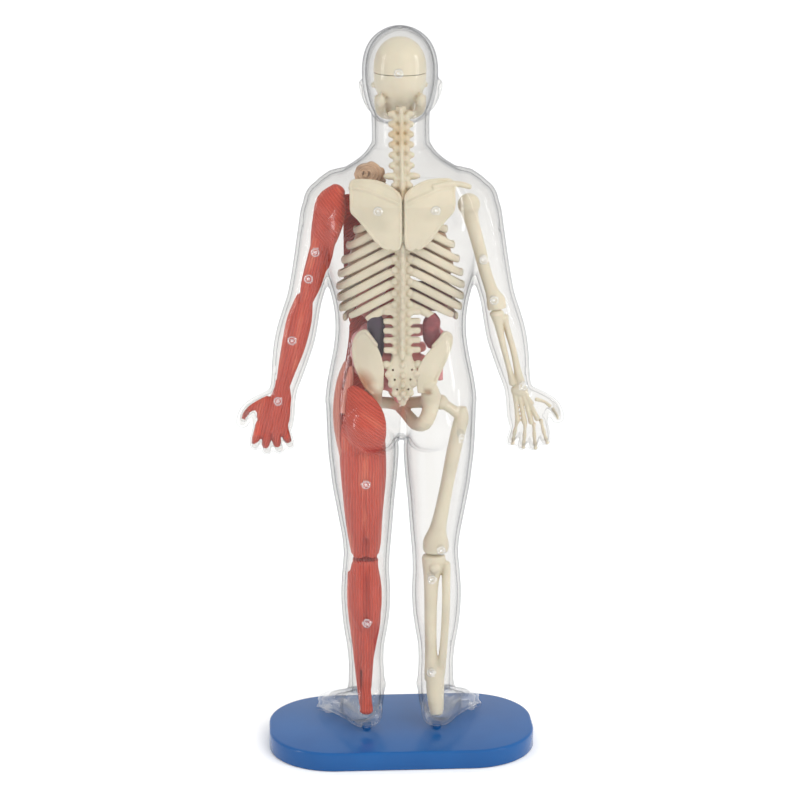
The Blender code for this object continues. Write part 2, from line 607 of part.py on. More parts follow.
def forearm_and_hand():
    def draw(bm):
        loft(bm, [(-39.4, 1.6, 187.2, 2.7, 2.6), (-40.2, 1.2, 183, 1.8, 1.9), (-42.8, 0.4, 172, 1.25, 1.3),
                  (-45.2, -0.4, 163, 1.2, 1.2), (-46.6, -0.6, 157.6, 1.6, 1.6)], seg=10, ends=0.6)
        loft(bm, [(-42.6, -0.2, 186.2, 1.9, 2.0), (-43.6, -0.4, 182, 1.4, 1.5), (-46.6, -0.8, 172, 1.3, 1.3),
                  (-48.6, -1.0, 163, 1.5, 1.4), (-49.9, -1.0, 157.8, 1.9, 1.7)], seg=10, ends=0.6)
        ball(bm, (-41.2, 0.6, 186.0), (2.6, 1.7, 1.8), 10, 8)
        ball(bm, (-49.4, -0.8, 154.6), (3.6, 1.9, 2.8), 12, 8)
        for x0, x1, z1 in ((-47.4, -48.9, 141.4), (-49.0, -51.8, 140.4), (-50.6, -54.7, 140.4),
                           (-52.0, -57.2, 142.0)):
            loft(bm, [(x0, -0.8, 153.4, 1.1, 1.2), ((x0 + x1) / 2, -0.9, 147.6, 0.85, 0.9),
                      (x1, -0.8, z1, 1.15, 1.15)], seg=8, ends=0.6)
        loft(bm, [(-51.0, -0.8, 154.4, 1.2, 1.2), (-53.2, -0.9, 150.8, 0.95, 1.0),
                  (-54.8, -0.9, 148.6, 0.95, 1.0)], seg=8, ends=0.5)
    return melt(make("forearm", draw), 0.5, 1, 640)


def femur():
    def draw(bm):
        ball(bm, FEMUR_HEAD, (3.2, 3.2, 3.2))
        loft(bm, [(*FEMUR_HEAD, 2.3, 2.3), (-20.4, 1.8, 148.0, 2.1, 2.3), (-24.0, 1.9, 145.4, 2.4, 2.5)],
             ref=(0, 1, 0), seg=12)
        loft(bm, [(-25.4, 2.0, 148.6, 1.7, 2.0), (-25.2, 2.0, 144, 3.0, 3.0), (-23.8, 1.6, 138, 3.1, 3.0),
                  (-21.6, 1.0, 127, 2.5, 2.6), (-19.4, 0.4, 115, 2.3, 2.5), (-17.2, 0.1, 103, 2.5, 2.7),
                  (-15.6, 0.0, 95, 3.6, 3.4), (-14.8, 0.2, 90, 5.3, 4.6), (-14.7, 0.2, 86.6, 5.5, 4.8),
                  (-14.7, 0.2, KNEE + 0.9, 4.9, 4.3)], seg=14)
    return melt(make("femur", draw), VOXEL_BONE, 1, 440)


def shin():
    def draw(bm):
        loft(bm, [(-13.9, 0.2, KNEE - 0.8, 4.8, 4.2), (-13.8, 0.2, 80.6, 5.0, 4.3), (-13.0, 0.3, 74, 3.2, 3.2),
                  (-12.5, 0.4, 66, 2.4, 2.6), (-12.4, 0.5, 52, 2.1, 2.2), (-12.7, 0.5, 40, 2.2, 2.2),
                  (-13.2, 0.6, 32, 3.2, 2.9), (-13.6, 0.9, 28, 3.6, 3.1)], seg=12, ends=0.2)
        loft(bm, [(-18.9, 1.2, 79.6, 1.7, 1.8), (-19.3, 1.4, 73, 1.4, 1.4), (-19.2, 1.5, 58, 1.25, 1.3),
                  (-18.2, 1.3, 42, 1.3, 1.3), (-17.1, 1.1, 32, 1.9, 1.8), (-16.8, 1.1, 27.5, 1.7, 1.7)],
             seg=10, ends=0.8)
        ball(bm, (-15.6, 0.9, 30.4), (3.0, 2.2, 3.4), 10, 8)
        loft(bm, [(-14.6, 1.2, 28, 3.9, 3.2), (-14.6, 2.4, 23, 3.8, 3.6), (-14.8, 4.6, 17.4, 3.1, 4.3),
                  (-14.9, 5.6, 14.0, 2.5, 3.5)], seg=12, ends=0.4)
    return melt(make("shin", draw), VOXEL_BONE, 1, 520)


# ---------------------------------------------------------------- muscles
def arm_muscle():
    top = [(26.6, 1, 240.0, 3.0, 4.0), (28.2, 1, 237.2, 5.4, 6.4), (30.6, 1, 232.0, 6.9, 7.4)]
    rest = [(x, y, z, a - 2.4, b - 2.5) for x, y, z, a, b in ARM[3:-2]]
    end = [(53.4, -0.8, 141.2, 4.4, 1.1)]

    def draw(bm):
        loft(bm, top + rest + end, seg=12, ends=0.2)
    return make("arm_muscle", draw)


def thigh_muscle(pelvis_ob):
    def draw(bm):
        loft(bm, [(x, y, z, a - 2.9, b - 2.9) for x, y, z, a, b in LEG[1:7]]
             + [(14.5, -0.1, KNEE + 0.7, 6.9, 7.2)], seg=18)
        ball(bm, (15.4, 11.4, 147.6), (8.4, 6.0, 13.2), 18, 12)
        ball(bm, (20.5, 4.0, 137.0), (6.6, 8.6, 12.0), 16, 10)
        loft(bm, [(24.0, -3.6, 166, 1.6, 2.2), (25.6, -2.0, 156, 1.9, 3.4), (25.8, 0.0, 144, 2.4, 5.0),
                  (23.6, 0.5, 132, 3.6, 6.0)], seg=12, ends=0.6)
    ob = melt(make("thigh", draw), 0.85, 2)
    combine(ob, body_volume("hollow", WALL + 0.9, 1.1, 2, None), "INTERSECT")
    return clear_of(thin(ob, 560), pelvis_ob, 0.6)


def calf_muscle():
    def draw(bm):
        top = [(14.5, -0.1, KNEE - 1.6, 6.0, 6.3), (14.6, 0.1, KNEE - 4.0, 6.9, 7.1)]
        middle = [(x, y, z, a - 2.7, b - 2.7) for x, y, z, a, b in LEG[8:14]]
        heel = [(14.7, 1.6, 29, 4.6, 4.4), (14.8, 3.4, 21, 3.6, 4.1), (15.1, 5.6, 15.0, 2.5, 3.4)]
        loft(bm, top + middle + heel, seg=16, ends=0.1)
    return make("calf", draw)


def torso_muscle():
    def sheet(bm, s):
        column(bm, TRUNK, seg=40, power=2.25, shrink=s)
        for x in (13.0, -13.0):
            ball(bm, (x, -12.6, 222.0), [r - s for r in (13.0, 9.4, 9.5)])
    a = melt(make("a", lambda bm: sheet(bm, 2.5)), 1.0, 2, 2600)
    b = melt(make("b", lambda bm: sheet(bm, 3.35)), 1.0, 2, 2600)
    combine(a, b)
    combine(a, make("keep", lambda bm: box(bm, (1.6, -40, 152), (40, -9.9, 236))), "INTERSECT")
    return thin(main_body(a), 460)


# ---------------------------------------------------------------- organs
LUNG = [(12.4, -1.6, 203.6, 6.6, 6.6), (12.9, -2.4, 207, 8.8, 8.4), (12.2, -2.6, 213, 8.5, 8.6),
        (11.0, -2.4, 220, 7.3, 7.7), (9.1, -2.2, 226, 5.4, 6.2), (7.4, -2.2, 231, 3.6, 4.6),
        (6.8, -2.2, 234, 2.2, 3.0)]
HEART = (3.6, -5.6, 212.0)


def lung(side):
    st = LUNG if side > 0 else mirrored(LUNG)

    def draw(bm):
        loft(bm, st, seg=14, ends=0.3)
        if side > 0:
            loft(bm, [(7.4, -2.6, 232, 2.8, 3.6), (9.0, -1.6, 239, 3.0, 3.2), (11.0, 0.4, 245.4, 4.6, 3.0),
                      (11.2, 0.8, 249.6, 2.9, 2.4)], seg=12, ends=0.7)
    ob = melt(make("lung", draw), VOXEL_ORGAN, 2, 420)
    x, _, z = HEART
    room = make("room", lambda bm: loft(bm, [(x, 0.8, z, 6.2, 8.2), (x, -24, z, 6.2, 8.2)],
                                        ref=(0, 0, 1), seg=16))
    return combine(ob, room)


def heart():
    x, y, z = HEART

    def draw(bm):
        ball(bm, (x + 0.6, y - 0.2, z - 1.2), (4.9, 4.8, 6.0), turn=0.35)
        ball(bm, (x - 1.4, y + 0.4, z + 2.8), (3.8, 4.0, 3.8))
        rod(bm, (x - 0.4, y, z + 3), (x - 1.2, y + 0.6, z + 7.2), 1.3)
    return melt(make("heart", draw), VOXEL_ORGAN, 1, 360)


def liver():
    return make("liver", lambda bm: loft(
        bm, [(-20.0, -2.2, 193.6, 3.2, 3.8), (-16.6, -2.4, 194, 5.4, 5.8), (-10, -3.6, 194.8, 6.0, 7.4),
             (-4, -5.0, 196.2, 4.4, 6.8), (0.6, -6.2, 197.6, 2.4, 4.4)], seg=16, ends=0.4))


def stomach():
    ob = make("stomach", lambda bm: loft(
        bm, [(4.8, -4.4, 200.6, 1.5, 1.5), (8.0, -4.6, 198.8, 3.2, 4.0), (12.4, -3.6, 196.4, 5.0, 5.4),
             (14.4, -3.6, 191.6, 4.4, 4.9), (11.4, -5.4, 187.4, 3.4, 4.2), (6.6, -7.0, 187.2, 2.2, 3.0),
             (3.6, -7.2, 188.8, 1.6, 2.0)], seg=14, ends=0.6))
    return melt(ob, VOXEL_ORGAN, 1, 420)


def kidney(side):
    return make("kidney", lambda bm: loft(
        bm, [(side * 12.6, 2.6, 174.8, 2.2, 2.0), (side * 12.6, 3.0, 177.6, 3.5, 2.6),
             (side * 11.6, 3.6, 181.6, 3.0, 2.6), (side * 12.0, 4.6, 185.6, 3.3, 2.6),
             (side * 11.8, 5.0, 188.2, 2.0, 1.9)], seg=12, ends=0.5))


COLON = [(-16.0, -3.4, 160.8), (-17.8, -3.4, 165.5), (-18.2, -3.4, 171.0), (-17.6, -3.6, 176.6),
         (-13.6, -4.8, 180.4), (-7.0, -6.8, 179.4), (0.0, -7.6, 178.2), (7.0, -6.8, 179.4),
         (13.6, -4.8, 180.6), (17.6, -3.6, 177.0), (18.2, -3.2, 171.0), (17.4, -2.8, 165.0),
         (13.4, -1.6, 160.2), (7.6, -0.6, 158.4), (3.0, 1.8, 157.0), (0.4, 4.2, 153.4)]


def colon():
    pts = [Vector(p) for p in COLON]
    st = []
    for i, p in enumerate(pts):
        st.append((*p, 2.7, 2.7))
        if i + 1 < len(pts):
            st.append((*((p + pts[i + 1]) / 2), 2.25, 2.25))
    return make("colon", lambda bm: loft(bm, st, seg=8, ends=0.8))


def small_gut():
    rows = (171.4, 167.4, 163.4)
    pts = []
    for k, z in enumerate(rows):
        s = 1 if k % 2 == 0 else -1
        w = 9.4 - 0.9 * k
        for x in (-w, -w / 2, 0, w / 2, w):
            pts.append((s * x, -9.0 + 0.8 * math.sin(x * 0.7 + k), z + 0.7 * math.sin(x * 0.6)))
        if k < 2:
            pts.append((s * (w + 1.6), -9.0, z - 2.0))
    ob = make("gut", lambda bm: loft(bm, [(*p, 2.15, 3.2) for p in pts], seg=10, ends=0.8))
    return melt(ob, 0.7, 1, 560)


def bladder():
    return make("bladder", lambda bm: ball(bm, (0, -6.8, 153.4), (4.9, 4.0, 3.4), 14, 10))


# ---------------------------------------------------------------- shell fittings
POSTS = [(1.6, 288.0), (10.2, 234.0), (-13.0, 234.0), (35.2, 216.0), (38.0, 205.0), (45.0, 179.0),
         (51.0, 152.5), (15.3, 119.5), (14.9, 57.0), (-24.3, 138.5), (-16.4, 88.4), (-12.4, 76.0),
         (-12.4, 33.0), (-33.0, 212.0), (-37.6, 195.0), (-50.6, 157.5)]
CLIPS = [(1, 227.0), (1, 165.0), (-1, 163.0), (1, 44.0), (-1, 43.0), (-1, 224.0)]


def half(ob, front):
    """Keeps the part of ob on one side of the seam plane y = 0."""
    lo, hi = ((-200, -200, -10), (200, -SEAM, 400)) if front else ((-200, SEAM, -10), (200, 200, 400))
    return combine(ob, make("keep", lambda bm: box(bm, lo, hi)), "INTERSECT")


def shells(contents):
    outer = body_volume("outer", 0.0, VOXEL_BODY, 1, 1900)
    inner = body_volume("inner", WALL, VOXEL_BODY, 2, 1100)
    shell = combine(copy_of(outer, "shell"), inner)

    def posts(bm):
        for x, z in POSTS:
            skin, inside = surface_y([outer], x, z), surface_y(contents, x, z)
            if skin is None or inside is None or skin - inside < 1.2:
                print("post without room", x, z, skin, inside)
                continue
            rod(bm, (x, skin - 0.5, z), (x, inside + 0.9, z), POST_R, 8)
    combine(shell, make("posts", posts), "UNION")

    def clips(bm):
        bm_o = bmesh.new()
        bm_o.from_mesh(outer.data)
        tree = BVHTree.FromBMesh(bm_o)
        bm_o.free()
        for s, z in CLIPS:
            hit = tree.ray_cast(Vector((s * 0.1, 0, z * MM)), Vector((-s, 0, 0)))[0]
            x = abs(hit.x) / MM
            box(bm, (min(s * (x - 1.8), s * (x - 0.4)), -2.2, z - 1.8),
                (max(s * (x - 1.8), s * (x - 0.4)), 2.2, z + 1.8))
    combine(shell, make("clips", clips), "UNION")
    holes = make("holes", lambda bm: [rod(bm, (s * PEG_AT[0], PEG_AT[1], SOLE - 4),
                                          (s * PEG_AT[0], PEG_AT[1], SOLE + 3.2), PEG_HOLE_R)
                                      for s in (1, -1)])
    combine(shell, holes)
    front = half(copy_of(shell, "front"), True)
    back = half(shell, False)
    bpy.data.objects.remove(outer)
    return front, back


def main():
    clear_scene()
    bone = material("bone_cream", (0.86, 0.78, 0.60), 0.45)
    clear = material("clear_plastic", (0.93, 0.94, 0.95), 0.05, clear=0.9)
    blue = material("stand_blue", (0.02, 0.09, 0.33), 0.25)
    muscle = material("muscle_red", (0.68, 0.12, 0.07), 0.5)
    lung_mat = material("lung_brown", (0.36, 0.20, 0.13), 0.4)
    heart_mat = material("heart_red", (0.35, 0.03, 0.03), 0.35)
    liver_mat = material("liver_brown", (0.22, 0.05, 0.04), 0.35)
    stomach_mat = material("stomach_rose", (0.62, 0.22, 0.20), 0.35)
    dark = material("kidney_dark", (0.06, 0.02, 0.04), 0.3)
    wine = material("kidney_wine", (0.25, 0.04, 0.05), 0.3)
    pink = material("gut_pink", (0.80, 0.34, 0.36), 0.35)
    coral = material("gut_coral", (0.70, 0.25, 0.24), 0.35)
    amber = material("bladder_amber", (0.70, 0.45, 0.22), 0.35)
    grey = material("brain_rose", (0.66, 0.38, 0.36), 0.4)

    node(stand(), "base_plate", blue, origin=(0, 0, 0))
    spine = node(spine_and_ribs(), "spine_rear_ribs", bone)
    cap, base = skull()
    node(cap, "skull_cap", bone)
    node(base, "skull_base", bone)
    node(brain(), "brain", grey)
    node(scapula(1), "left_scapula", bone)
    node(scapula(-1), "right_scapula", bone)
    hip = pelvis()
    room = make("room", lambda bm: ball(bm, FEMUR_HEAD, (3.8, 3.8, 3.8)))
    combine(hip, room)
    thigh = thigh_muscle(hip)
    leg = clear_of(femur(), hip, 0.4)
    node(hip, "pelvis", bone)
    node(front_ribs(), "front_rib_cage", bone)
    node(humerus(), "right_humerus", bone)
    node(forearm_and_hand(), "right_forearm_bones", bone)
    node(leg, "right_femur", bone)
    node(shin(), "right_shin_bones", bone)
    node(arm_muscle(), "left_arm_muscles", muscle)
    node(thigh, "left_thigh_muscles", muscle)
    node(calf_muscle(), "left_calf_muscles", muscle)
    node(torso_muscle(), "left_torso_muscles", muscle)
    node(lung(1), "left_lung", lung_mat)
    node(lung(-1), "right_lung", lung_mat)
    node(heart(), "heart", heart_mat)
    node(liver(), "liver", liver_mat)
    node(stomach(), "stomach", stomach_mat)
    node(kidney(1), "left_kidney", dark)
    node(kidney(-1), "right_kidney", wine)
    node(colon(), "large_intestine", pink)
    node(small_gut(), "small_intestine", coral)
    node(bladder(), "bladder", amber)
    bpy.context.view_layer.update()
    front, back = shells(NODES[1:])
    node(front, "front_shell", clear)
    node(back, "back_shell", clear)
    total = 0
    for ob in NODES:
        n = tri_count(ob.data)
        total += n
        print(ob.name, n, [round(v * 1000, 1) for v in ob.dimensions])
    print("total", total)


main()
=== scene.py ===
"""Clear-bodied anatomy figure: looks.

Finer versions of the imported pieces, their materials, the floor, the light and the camera.
Lengths in the tables are millimetres, times MM; the frame is metres, +Z up, the figure faces -Y.
"""

import json
import math

import bmesh
import bpy
from mathutils import Matrix, Vector
from mathutils.bvhtree import BVHTree

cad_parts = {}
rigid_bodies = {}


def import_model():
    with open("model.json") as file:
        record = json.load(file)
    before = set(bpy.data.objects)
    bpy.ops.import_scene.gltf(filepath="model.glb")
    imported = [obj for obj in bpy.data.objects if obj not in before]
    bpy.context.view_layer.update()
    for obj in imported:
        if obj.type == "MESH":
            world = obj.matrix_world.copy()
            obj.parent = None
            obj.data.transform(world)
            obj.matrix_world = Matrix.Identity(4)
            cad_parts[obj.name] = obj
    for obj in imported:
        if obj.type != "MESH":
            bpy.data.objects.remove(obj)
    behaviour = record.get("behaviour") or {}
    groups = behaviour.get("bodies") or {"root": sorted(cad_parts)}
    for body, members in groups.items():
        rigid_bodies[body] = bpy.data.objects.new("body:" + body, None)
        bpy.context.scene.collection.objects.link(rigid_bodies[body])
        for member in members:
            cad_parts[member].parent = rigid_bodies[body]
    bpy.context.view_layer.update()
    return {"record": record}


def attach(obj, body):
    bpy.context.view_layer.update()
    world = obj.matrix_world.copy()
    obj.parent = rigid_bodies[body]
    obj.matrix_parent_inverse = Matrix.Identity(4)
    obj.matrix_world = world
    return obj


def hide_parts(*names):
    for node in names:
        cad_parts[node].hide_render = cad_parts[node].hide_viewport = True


MM = 0.001
FINE = 2                    # how many times more sides each form gets than in the frame
STEPS = 3                   # points between two stations of a form
VOXEL = 0.36                # voxel size for bones, muscles and organs
VOXEL_SKIN = 0.62           # voxel size for the body shell

# ---------------------------------------------------------------- driving sizes (mm)
STAND_X, STAND_Y, STAND_Z = 113.0, 66.0, 8.0
STAND_CORNER = 28.0
SOLE = 8.3
WALL = 1.3
SEAM = 0.15
TURNOUT = math.radians(25.0)            # how far each foot points outward
PEG_R, PEG_HOLE_R, PEG_TOP = 1.8, 2.2, 9.2
PEG_AT = (15.0, 6.0)
POST_R, POST_SHORTEST = 1.5, 1.9
FOOT_TOP = 17.0
SKULL_SPLIT = 286.5
HIP_Z = 150.0
KNEE = 84.0
RIB_COUNT = 10
RIB_TOP, RIB_PITCH = 236.5, 4.85
RIB_THICK, RIB_TALL = 1.0, 1.782
LUMBAR = (190.6, 186.6, 182.6, 178.6, 174.6)

# ---------------------------------------------------------------- body form (mm)
# height, half width, front y, back y
TRUNK = [
    (130.5, 9.0, -7.0, 10.0), (134, 19.0, -13.0, 16.0), (140, 30.5, -16.5, 19.0),
    (148, 31.6, -17.5, 19.0), (156, 31.0, -18.0, 17.0), (164, 29.6, -18.0, 15.0),
    (172, 28.0, -18.0, 14.6), (180, 27.0, -18.0, 14.0), (188, 27.2, -18.6, 14.4),
    (196, 28.6, -19.8, 15.4), (204, 31.0, -21.0, 17.4), (212, 33.2, -21.8, 19.0),
    (220, 34.8, -21.4, 20.0), (228, 35.4, -20.0, 19.6), (235, 34.0, -17.6, 18.0),
    (240, 32.5, -15.6, 16.6), (244, 29.6, -13.8, 15.2), (247, 25.8, -12.8, 14.0),
    (249.5, 21.6, -12.2, 13.0), (252, 17.6, -12.0, 12.0), (255, 14.2, -12.2, 10.8),
    (258, 12.2, -12.6, 9.8),
]
NECK = [(246, 13.0, -11.5, 12.0), (254, 12.0, -12.2, 10.4), (260, 11.7, -13.4, 8.9),
        (267, 11.7, -15.0, 8.0), (275, 12.0, -16.5, 8.0)]
HEAD = [
    (264.2, 5.0, -21.5, -8.0), (266, 8.8, -24.0, -1.0), (269, 11.4, -25.0, 4.0),
    (273, 13.2, -25.6, 7.6), (278, 14.5, -25.8, 10.0), (284, 15.3, -26.0, 11.2),
    (290, 15.2, -25.8, 11.0), (295, 14.1, -24.4, 9.6), (299, 12.0, -21.8, 7.2),
    (302, 9.0, -18.4, 4.2), (304, 5.4, -14.6, 0.6), (304.9, 2.0, -10.5, -3.0),
]
# x, y, height, half width, half depth
ARM = [
    (17.0, 1.0, 240.5, 8.0, 9.0), (24.5, 1.0, 239.5, 9.4, 10.0), (30.6, 1.0, 232.5, 9.6, 10.0),
    (33.6, 1.0, 222.0, 8.6, 9.4), (35.6, 1.0, 212.0, 8.1, 8.8), (37.6, 1.0, 203.0, 7.6, 8.2),
    (39.6, 1.0, 195.0, 7.2, 7.6), (41.6, 0.6, 187.0, 7.8, 7.5), (43.5, 0.2, 179.0, 8.2, 7.4),
    (45.4, -0.2, 171.0, 7.6, 6.8), (47.1, -0.6, 163.0, 6.5, 5.8), (48.5, -0.8, 157.0, 5.7, 5.0),
    (50.0, -0.8, 151.5, 6.4, 4.6), (51.6, -0.8, 146.0, 7.7, 4.3), (53.2, -0.8, 140.5, 7.8, 4.0),
    (54.0, -0.8, 137.5, 6.4, 3.4),
]
FINGERS = [
    ((48.6, -0.8, 141.0), (47.6, -1.2, 136.0), (47.0, -1.8, 131.4), 1.9),
    ((52.0, -0.8, 140.0), (51.8, -1.2, 134.5), (51.5, -2.0, 129.6), 2.1),
    ((55.6, -0.8, 140.0), (56.0, -1.2, 134.5), (56.6, -2.0, 129.2), 2.1),
    ((58.6, -0.8, 141.5), (60.0, -1.2, 136.0), (61.6, -2.0, 131.4), 2.1),
]
THUMB = [(53.0, -0.8, 152.5, 3.2, 3.2), (59.0, -1.0, 150.0, 2.9, 2.8),
         (63.8, -1.4, 147.0, 2.5, 2.4), (66.0, -1.8, 142.0, 2.2, 2.1)]
THUMB_WEB = [(54.0, -0.8, 153.0, 3.2, 3.2), (57.4, -0.9, 147.6, 4.2, 3.2), (58.6, -0.9, 142.8, 3.2, 3.0)]
LEG = [
    (15.6, 1.2, 142.0, 13.5, 15.0), (15.7, 1.2, 132.0, 14.7, 16.0), (15.5, 1.2, 124.0, 14.2, 15.3),
    (15.4, 0.8, 116.0, 13.4, 14.3), (15.1, 0.4, 108.0, 12.3, 13.2), (14.7, 0.1, 100.0, 11.3, 12.0),
    (14.4, -0.1, 92.0, 10.3, 10.8), (14.5, -0.1, 84.0, 9.7, 10.0), (14.9, 0.6, 76.0, 10.0, 9.9),
    (15.0, 1.4, 68.0, 10.4, 10.2), (15.0, 1.6, 60.0, 10.1, 9.9), (15.1, 1.2, 52.0, 9.2, 8.6),
    (15.1, 0.8, 44.0, 7.9, 7.3), (14.9, 0.6, 36.0, 7.4, 6.7), (14.8, 0.9, 29.0, 7.6, 7.2),
    (14.8, 1.6, 21.0, 7.4, 8.4), (14.8, 2.0, 15.0, 6.4, 7.4),
]
# distance from the heel along the foot, half width, height of the instep
FOOT = [(1.0, 3.6, 8.0), (3.5, 6.0, 12.0), (8.0, 7.2, 15.0), (14.0, 7.2, 16.0), (20.0, 7.6, 13.5),
        (27.0, 8.6, 10.4), (33.0, 9.0, 8.0), (38.0, 8.0, 6.2), (41.0, 5.4, 4.6)]
HEEL = Vector((12.3, 12.6, 0))
FOOT_WAY = Vector((math.sin(TURNOUT), -math.cos(TURNOUT), 0))


# ---------------------------------------------------------------- mesh helpers
def spow(v, p):
    """A power that keeps the sign."""
    return math.copysign(abs(v) ** p, v)


def finer(rows, steps=STEPS):
    """The same line of stations with extra ones between, on a smooth curve through them all."""
    if len(rows) < 3:
        return list(rows)
    out = []
    n = len(rows)
    for i in range(n - 1):
        p0, p1, p2, p3 = rows[max(i - 1, 0)], rows[i], rows[i + 1], rows[min(i + 2, n - 1)]
        for k in range(steps):
            t = k / steps
            out.append(tuple(0.5 * (2 * b + (c - a) * t + (2 * a - 5 * b + 4 * c - d) * t * t
                                    + (3 * b - a - 3 * c + d) * t ** 3)
                             for a, b, c, d in zip(p0, p1, p2, p3)))
    out.append(tuple(rows[-1]))
    return out


def loft(bm, stations, ref=(0, 1, 0), seg=16, power=2.0, shrink=0.0, ends=0.0, level=False):
    """One closed tube through stations (x, y, z, half width, half depth); the depth lies along ref.

    shrink pulls every wall in, and both ends with it; ends > 0 rounds the ends over; level keeps
    every ring horizontal.
    """
    stations, seg = finer(stations), seg * FINE
    pts = [Vector(s[:3]) for s in stations]
    a = [max(s[3] - shrink, 0.4) for s in stations]
    b = [max(s[4] - shrink, 0.4) for s in stations]
    if shrink:
        pts[0] = pts[0] + (pts[1] - pts[0]).normalized() * shrink
        pts[-1] = pts[-1] + (pts[-2] - pts[-1]).normalized() * shrink
    if ends:
        first, last = (pts[0] - pts[1]).normalized(), (pts[-1] - pts[-2]).normalized()
        p0, p1, a0, b0, a1, b1 = pts[0].copy(), pts[-1].copy(), a[0], b[0], a[-1], b[-1]
        r0, r1 = ends * min(a0, b0), ends * min(a1, b1)
        for k in (0.45, 0.8, 0.98):
            f = math.sqrt(1 - k * k)
            pts.insert(0, p0 + first * r0 * k)
            a.insert(0, a0 * f)
            b.insert(0, b0 * f)
            pts.append(p1 + last * r1 * k)
            a.append(a1 * f)
            b.append(b1 * f)
    rings = []
    n = len(pts)
    for i, p in enumerate(pts):
        t = (pts[min(i + 1, n - 1)] - pts[max(i - 1, 0)]).normalized()
        if level:
            t = Vector((0, 0, 1 if pts[-1].z > pts[0].z else -1))
        u = Vector(ref).cross(t).normalized()
        v = t.cross(u)
        ring = []
        for k in range(seg):
            ang = 2 * math.pi * (k + 0.5) / seg
            q = p + u * (a[i] * spow(math.cos(ang), 2 / power)) \
                  + v * (b[i] * spow(math.sin(ang), 2 / power))
            ring.append(bm.verts.new(q * MM))
        rings.append(ring)
    for r0, r1 in zip(rings, rings[1:]):
        for k in range(seg):
            bm.faces.new((r0[k], r0[(k + 1) % seg], r1[(k + 1) % seg], r1[k]))
    bm.faces.new(rings[0][::-1])
    bm.faces.new(rings[-1])


def column(bm, rows, seg=24, power=2.0, shrink=0.0):
    """A vertical loft from rows (height, half width, front y, back y)."""
    loft(bm, [(0, (f + k) / 2, z, w, (k - f) / 2) for z, w, f, k in rows],
         seg=seg, power=power, shrink=shrink, level=True)


def ball(bm, centre, radii, seg=16, rings=8, turn=0.0):
    m = Matrix.Translation(Vector(centre) * MM) @ Matrix.Rotation(turn, 4, "Y") @ Matrix.Diagonal(
        (radii[0] * MM, radii[1] * MM, radii[2] * MM, 1.0))
    bmesh.ops.create_uvsphere(bm, u_segments=seg * FINE, v_segments=rings * FINE, radius=1.0, matrix=m)


def box(bm, lo, hi):
    c = [(p + q) / 2 * MM for p, q in zip(lo, hi)]
    s = [(q - p) * MM for p, q in zip(lo, hi)]
    bmesh.ops.create_cube(bm, size=1.0, matrix=Matrix.Translation(c) @ Matrix.Diagonal((*s, 1.0)))


def rod(bm, a, b, r, seg=12):
    """A straight round bar from a to b."""
    a, b = Vector(a), Vector(b)
    turn = (b - a).to_track_quat("Z", "Y").to_matrix().to_4x4()
    bmesh.ops.create_cone(bm, cap_ends=True, segments=seg, radius1=r * MM, radius2=r * MM,
                          depth=(b - a).length * MM,
                          matrix=Matrix.Translation((a + b) / 2 * MM) @ turn)


def mirrored(stations):
    return [(-s[0],) + tuple(s[1:]) for s in stations]


def settle(ob):
    """Turns an object's modifiers into its mesh."""
    bpy.context.view_layer.update()
    deps = bpy.context.evaluated_depsgraph_get()
    me = bpy.data.meshes.new_from_object(ob.evaluated_get(deps))
    ob.modifiers.clear()
    old, ob.data = ob.data, me
    bpy.data.meshes.remove(old)
    return ob


def from_bm(name, bm):
    bmesh.ops.recalc_face_normals(bm, faces=bm.faces)
    me = bpy.data.meshes.new(name)
    bm.to_mesh(me)
    bm.free()
    ob = bpy.data.objects.new(name, me)
    bpy.context.scene.collection.objects.link(ob)
    return ob


def make(name, *draws):
    """An object whose mesh is drawn by each of the given functions."""
    bm = bmesh.new()
    for draw in draws:
        draw(bm)
    return from_bm(name, bm)


def melt(ob, voxel=VOXEL, smooth=2):
    """Blends overlapping forms to one skin and softens it."""
    m = ob.modifiers.new("blend", "REMESH")
    m.mode, m.voxel_size, m.use_smooth_shade = "VOXEL", voxel * MM, True
    if smooth:
        m = ob.modifiers.new("soften", "SMOOTH")
        m.factor, m.iterations = 0.5, smooth
    return settle(ob)


def combine(ob, other, how="DIFFERENCE", solver="EXACT"):
    """Joins other to ob, or cuts it out, and removes it."""
    m = ob.modifiers.new("join", "BOOLEAN")
    m.operation, m.object, m.solver = how, other, solver
    settle(ob)
    bpy.data.objects.remove(other)
    return ob


def copy_of(ob, name):
    c = ob.copy()
    c.data = ob.data.copy()
    c.name = name
    bpy.context.scene.collection.objects.link(c)
    return c


def sculpt(ob, dents):
    """Pushes the skin out (or in, below 0) round each (centre, reach x y z, amount), in mm."""
    me = ob.data
    me.update()
    normals = [v.normal.copy() for v in me.vertices]
    for v, n in zip(me.vertices, normals):
        p = v.co / MM
        push = 0.0
        for c, r, amount in dents:
            d = sum(((p[i] - c[i]) / r[i]) ** 2 for i in range(3))
            if d < 6.0:
                push += amount * math.exp(-d)
        if push:
            v.co += n * push * MM
    return ob


def both(dents):
    """The same dents on both sides of the body."""
    out = []
    for (x, y, z), r, amount in dents:
        out.append(((x, y, z), r, amount))
        if x:
            out.append(((-x, y, z), r, amount))
    return out


def clip_to(ob, lo, hi):
    return combine(ob, make("keep", lambda bm: box(bm, lo, hi)), "INTERSECT", solver="MANIFOLD")


# ---------------------------------------------------------------- body volumes
def foot_path():
    """Stations of the left foot, from the heel to the tip."""
    out = []
    for s, w, tall in FOOT:
        c = HEEL + FOOT_WAY * s
        out.append((c.x, c.y, SOLE + tall / 2, w, tall / 2))
    return out


